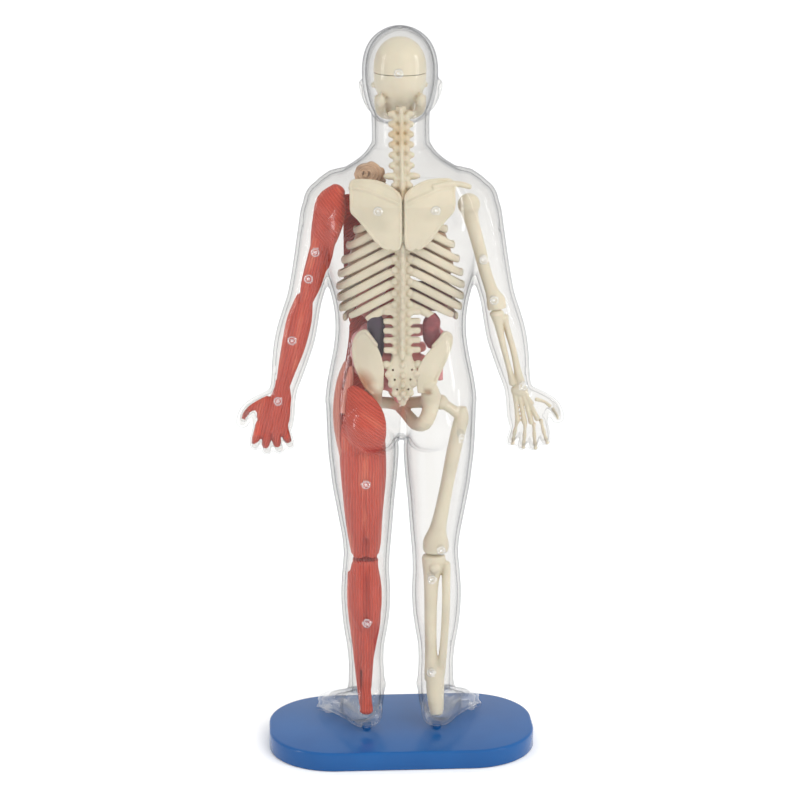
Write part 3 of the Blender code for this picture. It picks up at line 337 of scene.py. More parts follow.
def toes(bm, side, shrink):
    across = Vector((-FOOT_WAY.y, FOOT_WAY.x, 0))
    for k in range(5):
        r = (2.5, 2.0, 1.9, 1.8, 1.7)[k]
        reach = (40.6, 40.6, 39.4, 37.6, 35.2)[k]
        w = (-5.4, -1.2, 2.4, 5.6, 8.4)[k]
        a = HEEL + FOOT_WAY * (reach - 9) + across * w
        b = HEEL + FOOT_WAY * (reach - 1.5) + across * w * 1.06
        st = [(a.x, a.y, SOLE + 3.2, r, r * 1.25), ((a.x + b.x) / 2, (a.y + b.y) / 2, SOLE + 2.9, r, r),
              (b.x, b.y, SOLE + r * 0.95, r, r * 0.95)]
        loft(bm, st if side > 0 else mirrored(st), ref=(0, 0, 1), seg=8, ends=0.9, shrink=shrink)


def trunk_form():
    """The trunk with its lower end drawn in between the legs."""
    rows = [(z if z > HIP_Z else HIP_Z - (HIP_Z - z) * 0.65, w, f, b) for z, w, f, b in TRUNK]
    low, wide, front, back = rows[0]
    rows = [(z, w * min(1.0, 0.6 + 0.4 * (z - low) / 12.0), f, b) for z, w, f, b in rows]
    return [(low - 2.0, wide * 0.32, front * 0.55, back * 0.55)] + rows


HIP = [(16.6, 1.0, 158.0, 13.6, 12.6), (17.0, 1.2, 151.0, 14.1, 14.2), (17.4, 1.2, 144.0, 13.6, 15.2),
       (17.2, 1.2, 136.0, 13.5, 15.8), (16.4, 1.2, 129.0, 13.9, 15.6)]


def body_volume(name, shrink, voxel, smooth):
    """The whole body as one solid; with shrink, the hollow inside it."""
    bm = bmesh.new()
    column(bm, trunk_form(), seg=32, power=2.25, shrink=shrink)
    column(bm, NECK, seg=20, shrink=shrink)
    column(bm, HEAD, seg=28, power=2.1, shrink=shrink)
    for side in (1, -1):
        flip = mirrored if side < 0 else list
        loft(bm, flip(ARM), seg=20, shrink=shrink)
        loft(bm, flip(LEG), seg=24, shrink=shrink)
        loft(bm, flip(HIP), seg=24, shrink=shrink)
        loft(bm, flip(foot_path()[:-1]), ref=(0, 0, 1), seg=18, power=2.6, shrink=shrink)
        ball(bm, (side * 13.0, 9.5, 143.0), [r - shrink for r in (12.5, 11.5, 13.0)])
        ball(bm, (side * 13.0, -12.6, 222.0), [r - shrink for r in (13.0, 9.4, 9.5)])
        ball(bm, (side * 30.0, 1.0, 234.0), [r - shrink for r in (9.8, 10.4, 10.5)])
        for a, m, b, r in FINGERS:
            s = r * 1.28 - min(shrink, 0.75)
            low = (b[0] * 0.985, b[1] - 0.4, b[2] + 1.0)
            loft(bm, flip([(*a, s, s), (*m, s, s), (*low, s * 0.9, s * 0.9)]), seg=10, ends=1.0)
        thumb = [(x, y, z, w * 1.3, d * 1.05) for x, y, z, w, d in THUMB]
        for st in (thumb, THUMB_WEB):
            loft(bm, flip(st), seg=12, ends=1.0, shrink=shrink)
        toes(bm, side, min(shrink, 0.8))
        if not shrink:
            ear(bm, side)
    if not shrink:
        loft(bm, [(0, -24.4, 287.0, 1.3, 1.4), (0, -26.0, 282.5, 1.5, 1.8),
                  (0, -27.0, 279.2, 2.0, 2.0), (0, -25.0, 277.2, 2.2, 1.4)], seg=10)
        ball(bm, (0, -22.8, 267.8), (5.4, 3.2, 3.4))
    ob = from_bm(name, bm)
    return melt(ob, voxel, smooth)


def ear(bm, side):
    rim = [(14.0, -6.2, 278.8), (15.2, -5.4, 282.0), (15.9, -3.2, 283.0), (16.0, -1.2, 281.4),
           (15.2, -1.0, 278.2), (14.0, -2.4, 275.0), (12.8, -4.2, 272.6), (12.0, -5.4, 271.6)]
    loft(bm, [(side * x, y, z, 0.8, 0.95) for x, y, z in rim], ref=(1, 0, 0), seg=6, ends=0.8)
    ball(bm, (side * 13.6, -4.0, 277.4), (1.7, 2.6, 5.0), turn=side * 0.25)


FACE = both([
    ((4.6, -25.4, 285.4), (2.9, 3.0, 2.0), -1.3),       # eye sockets
    ((4.6, -25.0, 284.9), (1.9, 2.0, 1.0), 0.9),        # closed lids
    ((5.0, -25.6, 288.6), (3.6, 2.6, 0.9), 0.45),       # brow
    ((7.8, -22.5, 281.4), (3.0, 3.2, 2.4), 0.6),        # cheekbones
    ((8.6, -20.0, 274.6), (2.6, 3.6, 3.0), -0.5),       # hollow of the cheek
    ((1.7, -26.4, 278.2), (0.9, 1.2, 0.8), 0.45),       # wings of the nose
    ((0.0, -26.0, 276.3), (0.7, 1.2, 0.9), -0.35),      # lip furrow
    ((1.3, -25.8, 275.0), (1.9, 1.4, 0.65), 0.6),       # upper lip
    ((0.0, -25.8, 273.0), (2.2, 1.4, 0.75), 0.65),      # lower lip
    ((0.0, -26.2, 274.05), (3.6, 1.6, 0.32), -0.75),    # mouth line
    ((0.0, -25.4, 271.0), (3.0, 1.6, 0.8), -0.5),       # fold over the chin
])
BODY = both([
    ((0.0, 13.0, 232.0), (1.6, 9.0, 26.0), -0.9),       # furrow of the back
    ((0.0, 14.5, 196.0), (1.8, 8.0, 26.0), -1.0),
    ((0.0, 19.5, 144.0), (1.5, 9.0, 11.0), -2.4),
    ((12.0, 16.6, 226.0), (8.0, 4.0, 9.0), 0.6),
    ((5.8, 14.0, 166.0), (2.2, 3.0, 2.2), -0.6),
    ((0.0, -20.5, 222.0), (1.6, 8.0, 12.0), -1.2),
    ((14.0, -21.5, 212.0), (10.0, 5.0, 2.0), -0.7),
    ((0.0, -19.0, 190.0), (1.0, 5.0, 22.0), -0.45),
    ((0.0, -18.6, 178.0), (1.3, 3.0, 1.5), -1.5),       # navel
    ((7.0, -19.0, 196.5), (6.0, 4.0, 0.8), -0.4),
    ((7.0, -19.0, 187.5), (6.0, 4.0, 0.8), -0.4),
    ((10.0, -14.0, 240.6), (9.0, 4.0, 1.5), 0.7),       # collarbones
    ((10.0, -13.6, 243.6), (7.0, 4.0, 1.6), -0.8),
    ((14.6, 9.6, 84.0), (4.0, 4.0, 5.0), -0.8),         # back of the knee
    ((14.6, -9.8, 85.0), (4.0, 3.0, 4.6), 0.9),         # kneecap
    ((15.0, 11.4, 66.0), (1.0, 5.0, 11.0), -0.5),
    ((7.9, 1.0, 26.0), (2.0, 2.4, 2.2), 0.8),           # ankle bones
    ((22.0, 1.6, 24.0), (2.0, 2.4, 2.2), 0.8),
    ((11.6, 6.0, 26.0), (1.4, 3.0, 6.0), -0.8),
    ((18.4, 6.0, 26.0), (1.4, 3.0, 6.0), -0.8),
    ((41.0, 7.8, 188.4), (2.0, 3.0, 2.0), 0.9),         # elbow
])


def plate(bm, rows, y_of, thick, n=6):
    """An upright curved plate from rows (height, inner x, outer x); y_of(x, z) is its mid depth."""
    rings = []
    for z, x0, x1 in rows:
        front, back = [], []
        for k in range(n + 1):
            f = k / n
            x = x0 + (x1 - x0) * f
            t = thick / 2 * (0.35 + 0.65 * math.sin(math.pi * min(max(f, 0.12), 0.88)) ** 0.5)
            y = y_of(x, z)
            front.append((x, y - t, z))
            back.append((x, y + t, z))
        rings.append([bm.verts.new(Vector(p) * MM) for p in front + back[::-1]])
    for r0, r1 in zip(rings, rings[1:]):
        for k in range(len(r0)):
            bm.faces.new((r0[k], r0[(k + 1) % len(r0)], r1[(k + 1) % len(r0)], r1[k]))
    bm.faces.new(rings[0][::-1])
    bm.faces.new(rings[-1])


def grow(ob, by):
    m = ob.modifiers.new("grow", "DISPLACE")
    m.strength, m.mid_level = by * MM, 0.0
    return settle(ob)


def clear_of(ob, other, gap=0.45):
    """Cuts room for other, with a gap, out of ob."""
    return combine(ob, grow(copy_of(other, "room"), gap), "DIFFERENCE", solver="MANIFOLD")


def tree_of(ob):
    bm = bmesh.new()
    bm.from_mesh(ob.data)
    bm.transform(ob.matrix_world)
    tree = BVHTree.FromBMesh(bm)
    bm.free()
    return tree


def first_y(trees, x, z):
    """The y at which a line from behind through (x, z) first meets any of the trees, in mm."""
    hits = [t.ray_cast(Vector((x * MM, 0.1, z * MM)), Vector((0, -1, 0)))[0] for t in trees]
    return max([h.y / MM for h in hits if h is not None], default=None)


# ---------------------------------------------------------------- stand
def stand():
    def slab(bm):
        x, y, r = STAND_X / 2, STAND_Y / 2, STAND_CORNER
        ring = []
        for cx, cy, a0 in ((x - r, y - r, 0), (r - x, y - r, 90), (r - x, r - y, 180), (x - r, r - y, 270)):
            for k in range(33):
                a = math.radians(a0 + 90 * k / 32)
                ring.append((cx + r * math.cos(a), cy + r * math.sin(a)))
        rows = []
        for z, inset in ((0.0, 0.5), (0.15, 0.15), (0.5, 0.0), (STAND_Z - 1.0, 0.0), (STAND_Z - 0.62, 0.1),
                         (STAND_Z - 0.3, 0.32), (STAND_Z - 0.08, 0.66), (STAND_Z, 1.1)):
            kx, ky = (x - inset) / x, (y - inset) / y
            rows.append([bm.verts.new((px * kx * MM, py * ky * MM, z * MM)) for px, py in ring])
        for r0, r1 in zip(rows, rows[1:]):
            for k in range(len(ring)):
                bm.faces.new((r0[k], r0[(k + 1) % len(ring)], r1[(k + 1) % len(ring)], r1[k]))
        bm.faces.new(rows[0][::-1])
        bm.faces.new(rows[-1])
    pegs = make("pegs", *[lambda bm, s=s: loft(
        bm, [(s * PEG_AT[0], PEG_AT[1], STAND_Z - 2, PEG_R, PEG_R),
             (s * PEG_AT[0], PEG_AT[1], PEG_TOP - 0.4, PEG_R, PEG_R),
             (s * PEG_AT[0], PEG_AT[1], PEG_TOP, PEG_R - 0.4, PEG_R - 0.4)], ref=(0, 1, 0), seg=16)
                          for s in (1, -1)])
    return combine(make("stand", slab), pegs, "UNION")


# ---------------------------------------------------------------- skeleton
SKULL = [(266.8, 4.6, -20.6, -13.0), (269, 6.0, -21.4, -10.5), (272, 6.6, -21.4, -7.0),
         (275.2, 7.8, -21.2, -1.0), (278, 9.3, -21.4, 3.6), (282, 10.3, -21.7, 6.2),
         (286.5, 10.7, -21.9, 7.0), (291, 10.4, -21.0, 6.5), (295, 9.1, -18.8, 4.8),
         (298, 6.8, -15.8, 2.0), (299.8, 4.0, -12.6, -1.6), (300.5, 1.6, -9.6, -4.8)]
BRAIN_AT, BRAIN_R, BRAIN_ROOM = (0.0, -7.4, 288.4), (8.1, 11.3, 9.1), 0.5
# x, y, height, half width, half depth
SPINE = [(0, -1.6, 273.2, 2.2, 2.2), (0, -0.8, 266, 2.4, 2.3), (0, 0.6, 258, 2.6, 2.4),
         (0, 3.0, 250, 2.8, 2.5), (0, 6.0, 242, 2.8, 2.6), (0, 8.0, 232, 2.8, 2.6),
         (0, 9.0, 220, 2.9, 2.6), (0, 8.4, 208, 3.1, 2.8), (0, 7.0, 197, 3.3, 2.9),
         (0, 5.8, 187, 3.6, 3.0), (0, 5.6, 178, 3.8, 3.1), (0, 6.8, 171, 4.4, 2.9),
         (0, 9.2, 165, 6.6, 2.3), (0, 11.0, 159, 4.4, 1.8), (0, 11.6, 155, 2.3, 1.4),
         (0, 11.0, 152, 1.2, 1.0)]
RIB_WIDE = (14.5, 18.5, 21.5, 23.5, 25.0, 25.6, 25.4, 24.6, 23.0, 20.5)
RIB_SLOPE = 0.56
RIB_END = (2, 2, 2, 2, 2, 2, 2, 4, 24, 46)       # degrees from the side where each rear rib stops
RIB_MID = -2.0                                   # y of the rib cage's middle
STERNUM_Z = (231.0, 227.0, 222.0, 217.0, 212.5, 209.0, 206.0)
SCAPULA = [(217.8, 2.6, 5.6), (219, 1.5, 8.4), (222, 1.0, 11.6), (226, 1.0, 14.6), (230, 1.0, 18.0),
           (232.5, 1.0, 20.4), (236, 1.0, 21.0), (239, 1.2, 21.0), (241, 3.0, 21.2),
           (243, 6.5, 21.0), (244.4, 11.0, 18.5)]
ILIUM = [(156.5, 8.6, 12.0), (159, 7.8, 14.8), (163, 7.6, 17.0), (168, 7.6, 19.0),
         (173, 8.8, 19.8), (177, 10.6, 19.6), (180, 12.8, 18.6), (182, 14.8, 16.8)]
RIGHT_ILIUM = [(156.5, 6.4, 11.8), (160, 6.0, 13.4), (164, 6.0, 15.0), (168, 6.8, 17.0),
               (172, 9.2, 18.8), (176, 12.8, 20.2), (179, 15.8, 20.4), (180.6, 17.4, 19.4)]


def spine_y(z):
    for p, q in zip(SPINE, SPINE[1:]):
        if q[2] <= z <= p[2]:
            f = (p[2] - z) / (p[2] - q[2])
            return p[1] + (q[1] - p[1]) * f
    return SPINE[0][1]


def rib(bm, i, side, front):
    """One rib band: it falls outward in a straight line behind, then turns forward and thins."""
    z0, wide = RIB_TOP - RIB_PITCH * i, RIB_WIDE[i]
    z_side = z0 + 1.6 - RIB_SLOPE * wide
    deep = spine_y(z0) + 1.0 - RIB_MID
    steps = 8
    pts = []
    for k in range(steps + 1):
        f = k / steps
        if not front:
            a = math.radians(80 - (80 - RIB_END[i]) * f)
            x, y = wide * math.cos(a), RIB_MID + deep * math.sin(a)
            z = z0 + 1.6 - RIB_SLOPE * x * (max(x, 0.1) / wide) ** 0.22
            if k == 0:
                pts.append((side * 1.0, spine_y(z0) + 0.6, z, 1.0))
        else:
            a1 = 80 if i < 7 else (64, 47)[i - 7]
            a = math.radians(2 + (a1 - 2) * f)
            z_end = STERNUM_Z[i] if i < 7 else (200.6, 195.2)[i - 7]
            z = z_side + (z_end - z_side) * f ** 1.3 - 2.2 * math.sin(math.pi * f)
            fy = 13.6 - 2.6 * max(0.0, (z - 226) / 8)
            x, y = wide * math.cos(a), RIB_MID - fy * math.sin(a)
        pts.append((side * x, y, z, 1.0 - 0.3 * f ** 4))
    if front and i < 7:
        pts.append((side * 1.3, RIB_MID - fy + 0.2, pts[-1][2], 0.8))
    loft(bm, [(x, y, z, RIB_THICK * k, RIB_TALL * k) for x, y, z, k in pts],
         ref=(0, 0, 1), seg=5, ends=0.6)


def spine_and_ribs():
    def draw(bm):
        loft(bm, [(x, y, z, a, b) for x, y, z, a, b in SPINE], seg=10)
        loft(bm, [(0, y + d + 0.7, z, 0.85, 1.3) for _, y, z, _, d in SPINE[:12]], seg=8)
        for i in range(7):
            z = 270.4 - 4.05 * i
            w = 2.5 if i < 6 else 3.6
            for s in (1, -1):
                ball(bm, (s * (w + 0.9), spine_y(z) + 1.4, z), (w - 0.5, 1.7, 1.45), seg=8, rings=6)
                ball(bm, (s * 1.9, spine_y(z) + 2.3, z - 1.6), (1.6, 1.2, 1.7), seg=8, rings=6)
        z = 242.0
        while z > 172.0:
            ball(bm, (0, spine_y(z) + 3.9, z), (1.2, 1.5, 2.0), seg=8, rings=6)
            for s in (1, -1):
                ball(bm, (s * 2.7, spine_y(z) + 1.9, z + 0.4), (1.9, 1.3, 1.6), seg=8, rings=6)
            z -= RIB_PITCH if z > 194 else 4.0
        for z in LUMBAR:
            loft(bm, [(x, spine_y(z) + 1.7, z, 1.3, 0.95) for x in (-7.0, -3.5, 0, 3.5, 7.0)],
                 seg=8, power=2.8, ends=0.7)
        for z, w in ((168.6, 6.6), (164.8, 5.4), (161.0, 4.2), (157.4, 2.8)):
            ball(bm, (0, spine_y(z) + 2.4, z), (1.2, 1.5, 1.5), seg=8, rings=6)
            for s in (1, -1):
                ball(bm, (s * w, spine_y(z) + 0.6, z), (1.9, 1.6, 1.7), seg=8, rings=6)
                ball(bm, (s * w * 0.5, spine_y(z) + 1.6, z - 1.8), (1.2, 1.2, 1.3), seg=8, rings=6)
        for i in range(RIB_COUNT):
            for s in (1, -1):
                rib(bm, i, s, False)
    body = melt(make("spine", draw), 0.36, 2)
    holes = make("holes", lambda bm: [rod(bm, (s * x, 0, z), (s * x, 16, z), 0.5, 6)
                                      for s in (1, -1)
                                      for x, z in ((3.9, 166.8), (3.2, 163.0), (2.3, 159.2))])
    return combine(body, holes)


def front_ribs():
    def draw(bm):
        loft(bm, [(0, -12.8, 235.6, 3.6, 1.1), (0, -13.8, 230, 3.0, 1.1), (0, -15.4, 219, 2.6, 1.1),
                  (0, -15.8, 208, 2.4, 1.1), (0, -15.6, 203.5, 1.4, 0.9)], seg=8, power=3)
        for s in (1, -1):
            for i in range(9):
                rib(bm, i, s, True)
            loft(bm, [(s * x, y, z, 1.1, 1.5) for x, y, z in
                      ((1.6, -15.6, 206.4), (6.5, -15.4, 203.0), (10.8, -14.2, 200.2),
                       (15.5, -11.6, 195.5), (18.6, -8.6, 192.4))], ref=(0, 0, 1), seg=6)
            loft(bm, [(s * x, y, z, 1.3, 1.3) for x, y, z in
                      ((2.0, -12.6, 234.6), (8.0, -11.8, 237.0), (14.5, -8.0, 239.2),
                       (20.5, -2.6, 240.0))], ref=(0, 0, 1), seg=6)
    return melt(make("sternum", draw), 0.36, 1)


def skull():
    """The cap and the base of the skull, hollow for the brain."""
    def draw(bm):
        column(bm, SKULL, seg=20, power=2.1)
        for s in (1, -1):
            loft(bm, [(s * 6.6, -20.6, 281.0, 1.6, 1.5), (s * 9.6, -17.4, 280.4, 1.0, 1.2),
                      (s * 10.9, -12.0, 280.6, 0.8, 1.1), (s * 10.2, -7.0, 281.4, 0.9, 1.2)],
                 ref=(0, 0, 1), seg=8, ends=0.6)
            loft(bm, [(s * 8.4, -5.0, 277.0, 1.0, 2.2), (s * 8.0, -6.6, 271.0, 1.1, 2.2),
                      (s * 5.4, -15.0, 267.4, 1.2, 1.8), (s * 1.2, -20.6, 266.8, 1.6, 1.6)],
                 ref=(1, 0, 0), seg=8, ends=0.5)
            ball(bm, (s * 8.0, 0.4, 276.0), (1.8, 2.2, 2.6))
    solid = melt(make("skull", draw), 0.4, 2)

    def face(bm):
        for s in (1, -1):
            ball(bm, (s * 4.4, -21.8, 282.2), (2.8, 3.4, 2.5), 12, 10)
            ball(bm, (s * 0.75, -21.8, 277.6), (0.9, 2.4, 2.0), 10, 8, turn=s * 0.25)
            ball(bm, (s * 9.6, -15.0, 283.2), (1.2, 3.4, 2.0), 10, 8)
        for k in range(9):
            a = math.radians(-56 + 14 * k)
            x, y = 6.4 * math.sin(a), -16.2 - 5.4 * math.cos(a)
            box(bm, (x - 0.14, y - 0.9, 270.0), (x + 0.14, y + 0.9, 273.6))
        for k in range(12):
            a = math.radians(-62 + 11.3 * k)
            x, y = 6.4 * math.sin(a), -16.2 - 5.4 * math.cos(a)
            box(bm, (x - 0.75, y - 0.8, 271.7), (x + 0.75, y + 0.8, 271.95))
    combine(solid, make("face", face), solver="MANIFOLD")
    room = make("room", lambda bm: ball(bm, BRAIN_AT, [r + BRAIN_ROOM for r in BRAIN_R], 16, 10))
    combine(solid, room, solver="MANIFOLD")
    cap = copy_of(solid, "cap")
    clip_to(cap, (-20, -40, SKULL_SPLIT + SEAM), (20, 40, 320))
    clip_to(solid, (-20, -40, 250), (20, 40, SKULL_SPLIT - SEAM))
    return cap, solid


def brain():
    """Two halves of winding folds."""
    x, y, z = BRAIN_AT

    def draw(bm):
        for s in (1, -1):
            ball(bm, (x + s * 3.5, y, z + 0.2), (4.3, 10.8, 8.6), 24, 18)
        ball(bm, (x, y + 5.6, z - 5.0), (5.4, 4.0, 3.0), 20, 12)
    ob = melt(make("brain", draw), 0.3, 1)
    for v in ob.data.vertices:
        p = (v.co / MM - Vector(BRAIN_AT))
        along = math.sin(p.y * 1.9 + 1.6 * math.sin(p.z * 1.1))
        wave = along * math.sin(p.z * 1.7 + 1.4 * math.sin(p.y * 0.9 + 2))
        v.co -= v.normal * (0.30 - 0.30 * wave) * MM
    return ob


def scapula(side):
    def y_of(x, z):
        return 14.9 - 0.0120 * x * x - 0.62 * max(0.0, z - 235)
    rows = SCAPULA if side < 0 else [(z, a, min(b, 20.6)) for z, a, b in SCAPULA]

    def draw(bm):
        plate(bm, finer([(z, side * a, side * b) for z, a, b in rows]),
              lambda x, z: y_of(abs(x), z), 1.5, 14)
        rim = [(b, z) for z, a, b in rows] + [(a, z) for z, a, b in rows[::-1]]
        rim = finer(rim + rim[:1], 2)
        loft(bm, [(side * x, y_of(x, z), z, 0.62, 0.95) for x, z in rim[:-1]], ref=(0, 1, 0.02), seg=6)
        ridge = [(2.0, 236.4), (8.0, 238.8), (14.0, 240.8), (19.6, 241.6)]
        loft(bm, [(side * x, y_of(x, z) + 0.6, z, 0.7, 0.8) for x, z in ridge], ref=(0, 0, 1), seg=6,
             ends=0.8)
        if side < 0:
            loft(bm, [(-12, 9.4, 241.8, 1.0, 1.1), (-17, 7.6, 242.6, 1.3, 1.3), (-22, 5.2, 242.6, 1.3, 1.3),
                      (-26, 3.0, 241.6, 1.2, 1.2), (-28.0, 1.6, 240.6, 1.0, 1.0)], ref=(0, 0, 1), seg=8)
    return melt(make("scapula", draw), 0.34, 2)


def pelvis():
    def draw(bm):
        for s in (1, -1):
            blade = ILIUM if s > 0 else RIGHT_ILIUM
            plate(bm, finer([(z, s * a, s * b) for z, a, b in blade]),
                  lambda x, z: 10.4 - 0.0135 * x * x - 0.10 * max(0, 166 - z), 2.0, 16)
            rim = [(b, z) for z, _, b in blade] + [(blade[-1][1], blade[-1][0] + 0.6)]
            rim += [(a - 0.2, z) for z, a, _ in blade[-3:-1][::-1]]
            loft(bm, [(s * x, 10.6 - 0.0135 * x * x, z, 0.7, 1.15) for x, z in rim], ref=(0, 1, 0.02), seg=6,
                 ends=0.6)
            loft(bm, [(s * 10.6, 8.4, 160, 3.2, 2.2), (s * 11.8, 5.6, 156, 3.8, 2.8),
                      (s * 12.4, 3.0, 152, 4.4, 3.6)], seg=12, ends=0.8)
            ball(bm, (s * 12.6, 2.0, 151.5), (4.6, 4.6, 4.8), 14, 10)
            loft(bm, [(s * 11.6, 0.5, 150.6, 3.2, 3.0), (s * 7.6, -5.0, 149.0, 2.7, 2.5),
                      (s * 3.6, -8.4, 147.8, 2.6, 2.5), (0, -9.2, 146.8, 2.2, 2.8)],
                 ref=(0, 0, 1), seg=10)
            if s > 0:
                continue
            loft(bm, [(0, -9.2, 145.8, 2.2, 2.4), (s * 3.0, -6.2, 143.2, 2.7, 2.4),
                      (s * 6.2, -0.8, 140.8, 3.1, 2.7), (s * 9.4, 3.8, 142.4, 3.5, 3.3),
                      (s * 11.6, 4.2, 147.0, 3.6, 3.3), (s * 12.2, 3.2, 150.6, 3.4, 3.2)],
                 ref=(0, 0, 1), seg=10)
    return melt(make("pelvis", draw))

FEMUR_HEAD = (-16.4, 1.6, 150.6)


def humerus():
    def draw(bm):
        ball(bm, (-27.6, 1.0, 233.4), (4.6, 4.6, 4.6))
        loft(bm, [(-27.6, 1, 232, 3.8, 3.8), (-29.0, 1, 226, 2.9, 2.9), (-31.8, 1, 216, 2.7, 2.5),
                  (-34.4, 1, 206, 2.5, 2.4), (-37.2, 1, 197.5, 2.7, 2.3), (-38.9, 1, 193.5, 3.9, 2.7),
                  (-39.6, 1, 189.8, 3.9, 2.7)], seg=12)
        ball(bm, (-38.6, 1.2, 191.6), (2.4, 3.0, 2.2))
    return melt(make("humerus", draw))


def forearm_and_hand():
    def draw(bm):
        loft(bm, [(-39.4, 1.8, 188.0, 3.0, 2.7), (-40.2, 1.2, 183, 1.8, 1.9), (-42.8, 0.4, 172, 1.25, 1.3),
                  (-45.2, -0.4, 163, 1.2, 1.2), (-46.6, -0.6, 157.6, 1.6, 1.6)], seg=10, ends=0.6)
        loft(bm, [(-42.6, -0.2, 186.2, 1.9, 2.0), (-43.6, -0.4, 182, 1.4, 1.5), (-46.6, -0.8, 172, 1.3, 1.3),
                  (-48.6, -1.0, 163, 1.5, 1.4), (-49.9, -1.0, 157.8, 1.9, 1.7)], seg=10, ends=0.6)
        ball(bm, (-41.2, 0.6, 186.0), (2.6, 1.7, 1.8), 10, 8)
        ball(bm, (-49.4, -0.8, 154.6), (3.6, 1.9, 2.8), 12, 8)
        for x0, x1, z1 in ((-47.4, -48.9, 141.4), (-49.0, -51.8, 140.4), (-50.6, -54.7, 140.4),
                           (-52.0, -57.2, 142.0)):
            loft(bm, [(x0, -0.8, 153.4, 1.1, 1.2), ((x0 + x1) / 2, -0.9, 147.6, 0.85, 0.9),
                      (x1, -0.8, z1, 1.15, 1.15)], seg=8, ends=0.6)
        loft(bm, [(-51.0, -0.8, 154.4, 1.2, 1.2), (-53.2, -0.9, 150.8, 0.95, 1.0),
                  (-54.8, -0.9, 148.6, 0.95, 1.0)], seg=8, ends=0.5)
    return melt(make("forearm", draw), 0.3, 1)


def finger_bones(bm):
    """Short bones of the right hand's fingers and thumb."""
    for a, m, b, _ in FINGERS:
        pts = [Vector((-a[0], a[1], a[2])), Vector((-m[0], m[1], m[2])), Vector((-b[0], b[1], b[2]))]
        for p, q in ((0.0, 0.42), (0.5, 0.74), (0.82, 1.02)):
            def at(f):
                return pts[0].lerp(pts[1], f * 2) if f < 0.5 else pts[1].lerp(pts[2], f * 2 - 1)
            s, e = at(p), at(q)
            mid = (s + e) / 2
            loft(bm, [(*s, 0.95, 0.95), (*mid, 0.62, 0.7), (*e, 0.9, 0.9)], seg=6, ends=0.6)
    for st in ([(-56.4, -0.9, 150.6, 0.9, 0.9), (-60.0, -1.0, 149.4, 0.65, 0.7),
                (-62.4, -1.2, 147.4, 0.85, 0.85)],
               [(-63.6, -1.4, 146.2, 0.8, 0.8), (-65.2, -1.6, 143.6, 0.6, 0.6),
                (-65.8, -1.7, 141.8, 0.5, 0.5)]):
        loft(bm, st, seg=6, ends=0.6)


def femur():
    def draw(bm):
        ball(bm, FEMUR_HEAD, (3.2, 3.2, 3.2))
        loft(bm, [(*FEMUR_HEAD, 2.3, 2.3), (-20.4, 1.8, 148.0, 2.1, 2.3), (-24.0, 1.9, 145.4, 2.4, 2.5)],
             ref=(0, 1, 0), seg=12)
        loft(bm, [(-25.4, 2.0, 148.6, 1.7, 2.0), (-25.2, 2.0, 144, 3.0, 3.0), (-23.8, 1.6, 138, 3.1, 3.0),
                  (-21.6, 1.0, 127, 3.0, 2.9), (-19.4, 0.4, 115, 2.8, 2.8), (-17.2, 0.1, 103, 3.0, 3.0),
                  (-15.6, 0.0, 95, 3.6, 3.4), (-14.8, 0.2, 90, 5.3, 4.6), (-14.7, 0.2, 86.6, 5.5, 4.8),
                  (-14.7, 0.2, KNEE + 0.9, 4.9, 4.3)], seg=14)
    return melt(make("femur", draw))


def shin():
    def draw(bm):
        loft(bm, [(-13.9, 0.2, KNEE - 0.8, 4.8, 4.2), (-13.8, 0.2, 80.6, 5.0, 4.3),
                  (-13.0, 0.3, 74, 3.5, 3.3), (-12.7, 0.4, 66, 2.9, 2.7), (-12.6, 0.5, 52, 2.6, 2.4),
                  (-12.8, 0.5, 40, 2.6, 2.4),
                  (-13.2, 0.6, 32, 3.2, 2.9), (-13.6, 0.9, 28, 3.6, 3.1)], seg=12, ends=0.2)
        loft(bm, [(-18.9, 1.2, 79.6, 2.0, 1.9), (-19.1, 1.4, 73, 1.8, 1.6), (-19.0, 1.5, 58, 1.75, 1.5),
                  (-18.1, 1.3, 42, 1.7, 1.5), (-17.1, 1.1, 32, 1.9, 1.8), (-16.8, 1.1, 27.5, 1.7, 1.7)],
             seg=10, ends=0.8)
        ball(bm, (-15.2, 0.9, 30.0), (3.6, 2.7, 4.2), 12, 10)
        loft(bm, [(-14.6, 1.0, 31, 3.2, 2.8), (-14.6, 1.4, 27, 3.9, 3.3),
                  (-14.6, 2.4, 23, 3.8, 3.6), (-14.8, 4.6, 17.4, 3.3, 4.3),
                  (-14.9, 5.6, 14.0, 2.7, 3.5)], seg=12, ends=0.4)
        ball(bm, (-14.2, 4.4, 84.0 - 5.0), (2.4, 1.8, 2.4))
    return melt(make("shin", draw))


# ---------------------------------------------------------------- muscles
def bellies(bm, rows, seg=10):
    for st in rows:
        loft(bm, st, seg=seg, ends=0.6)


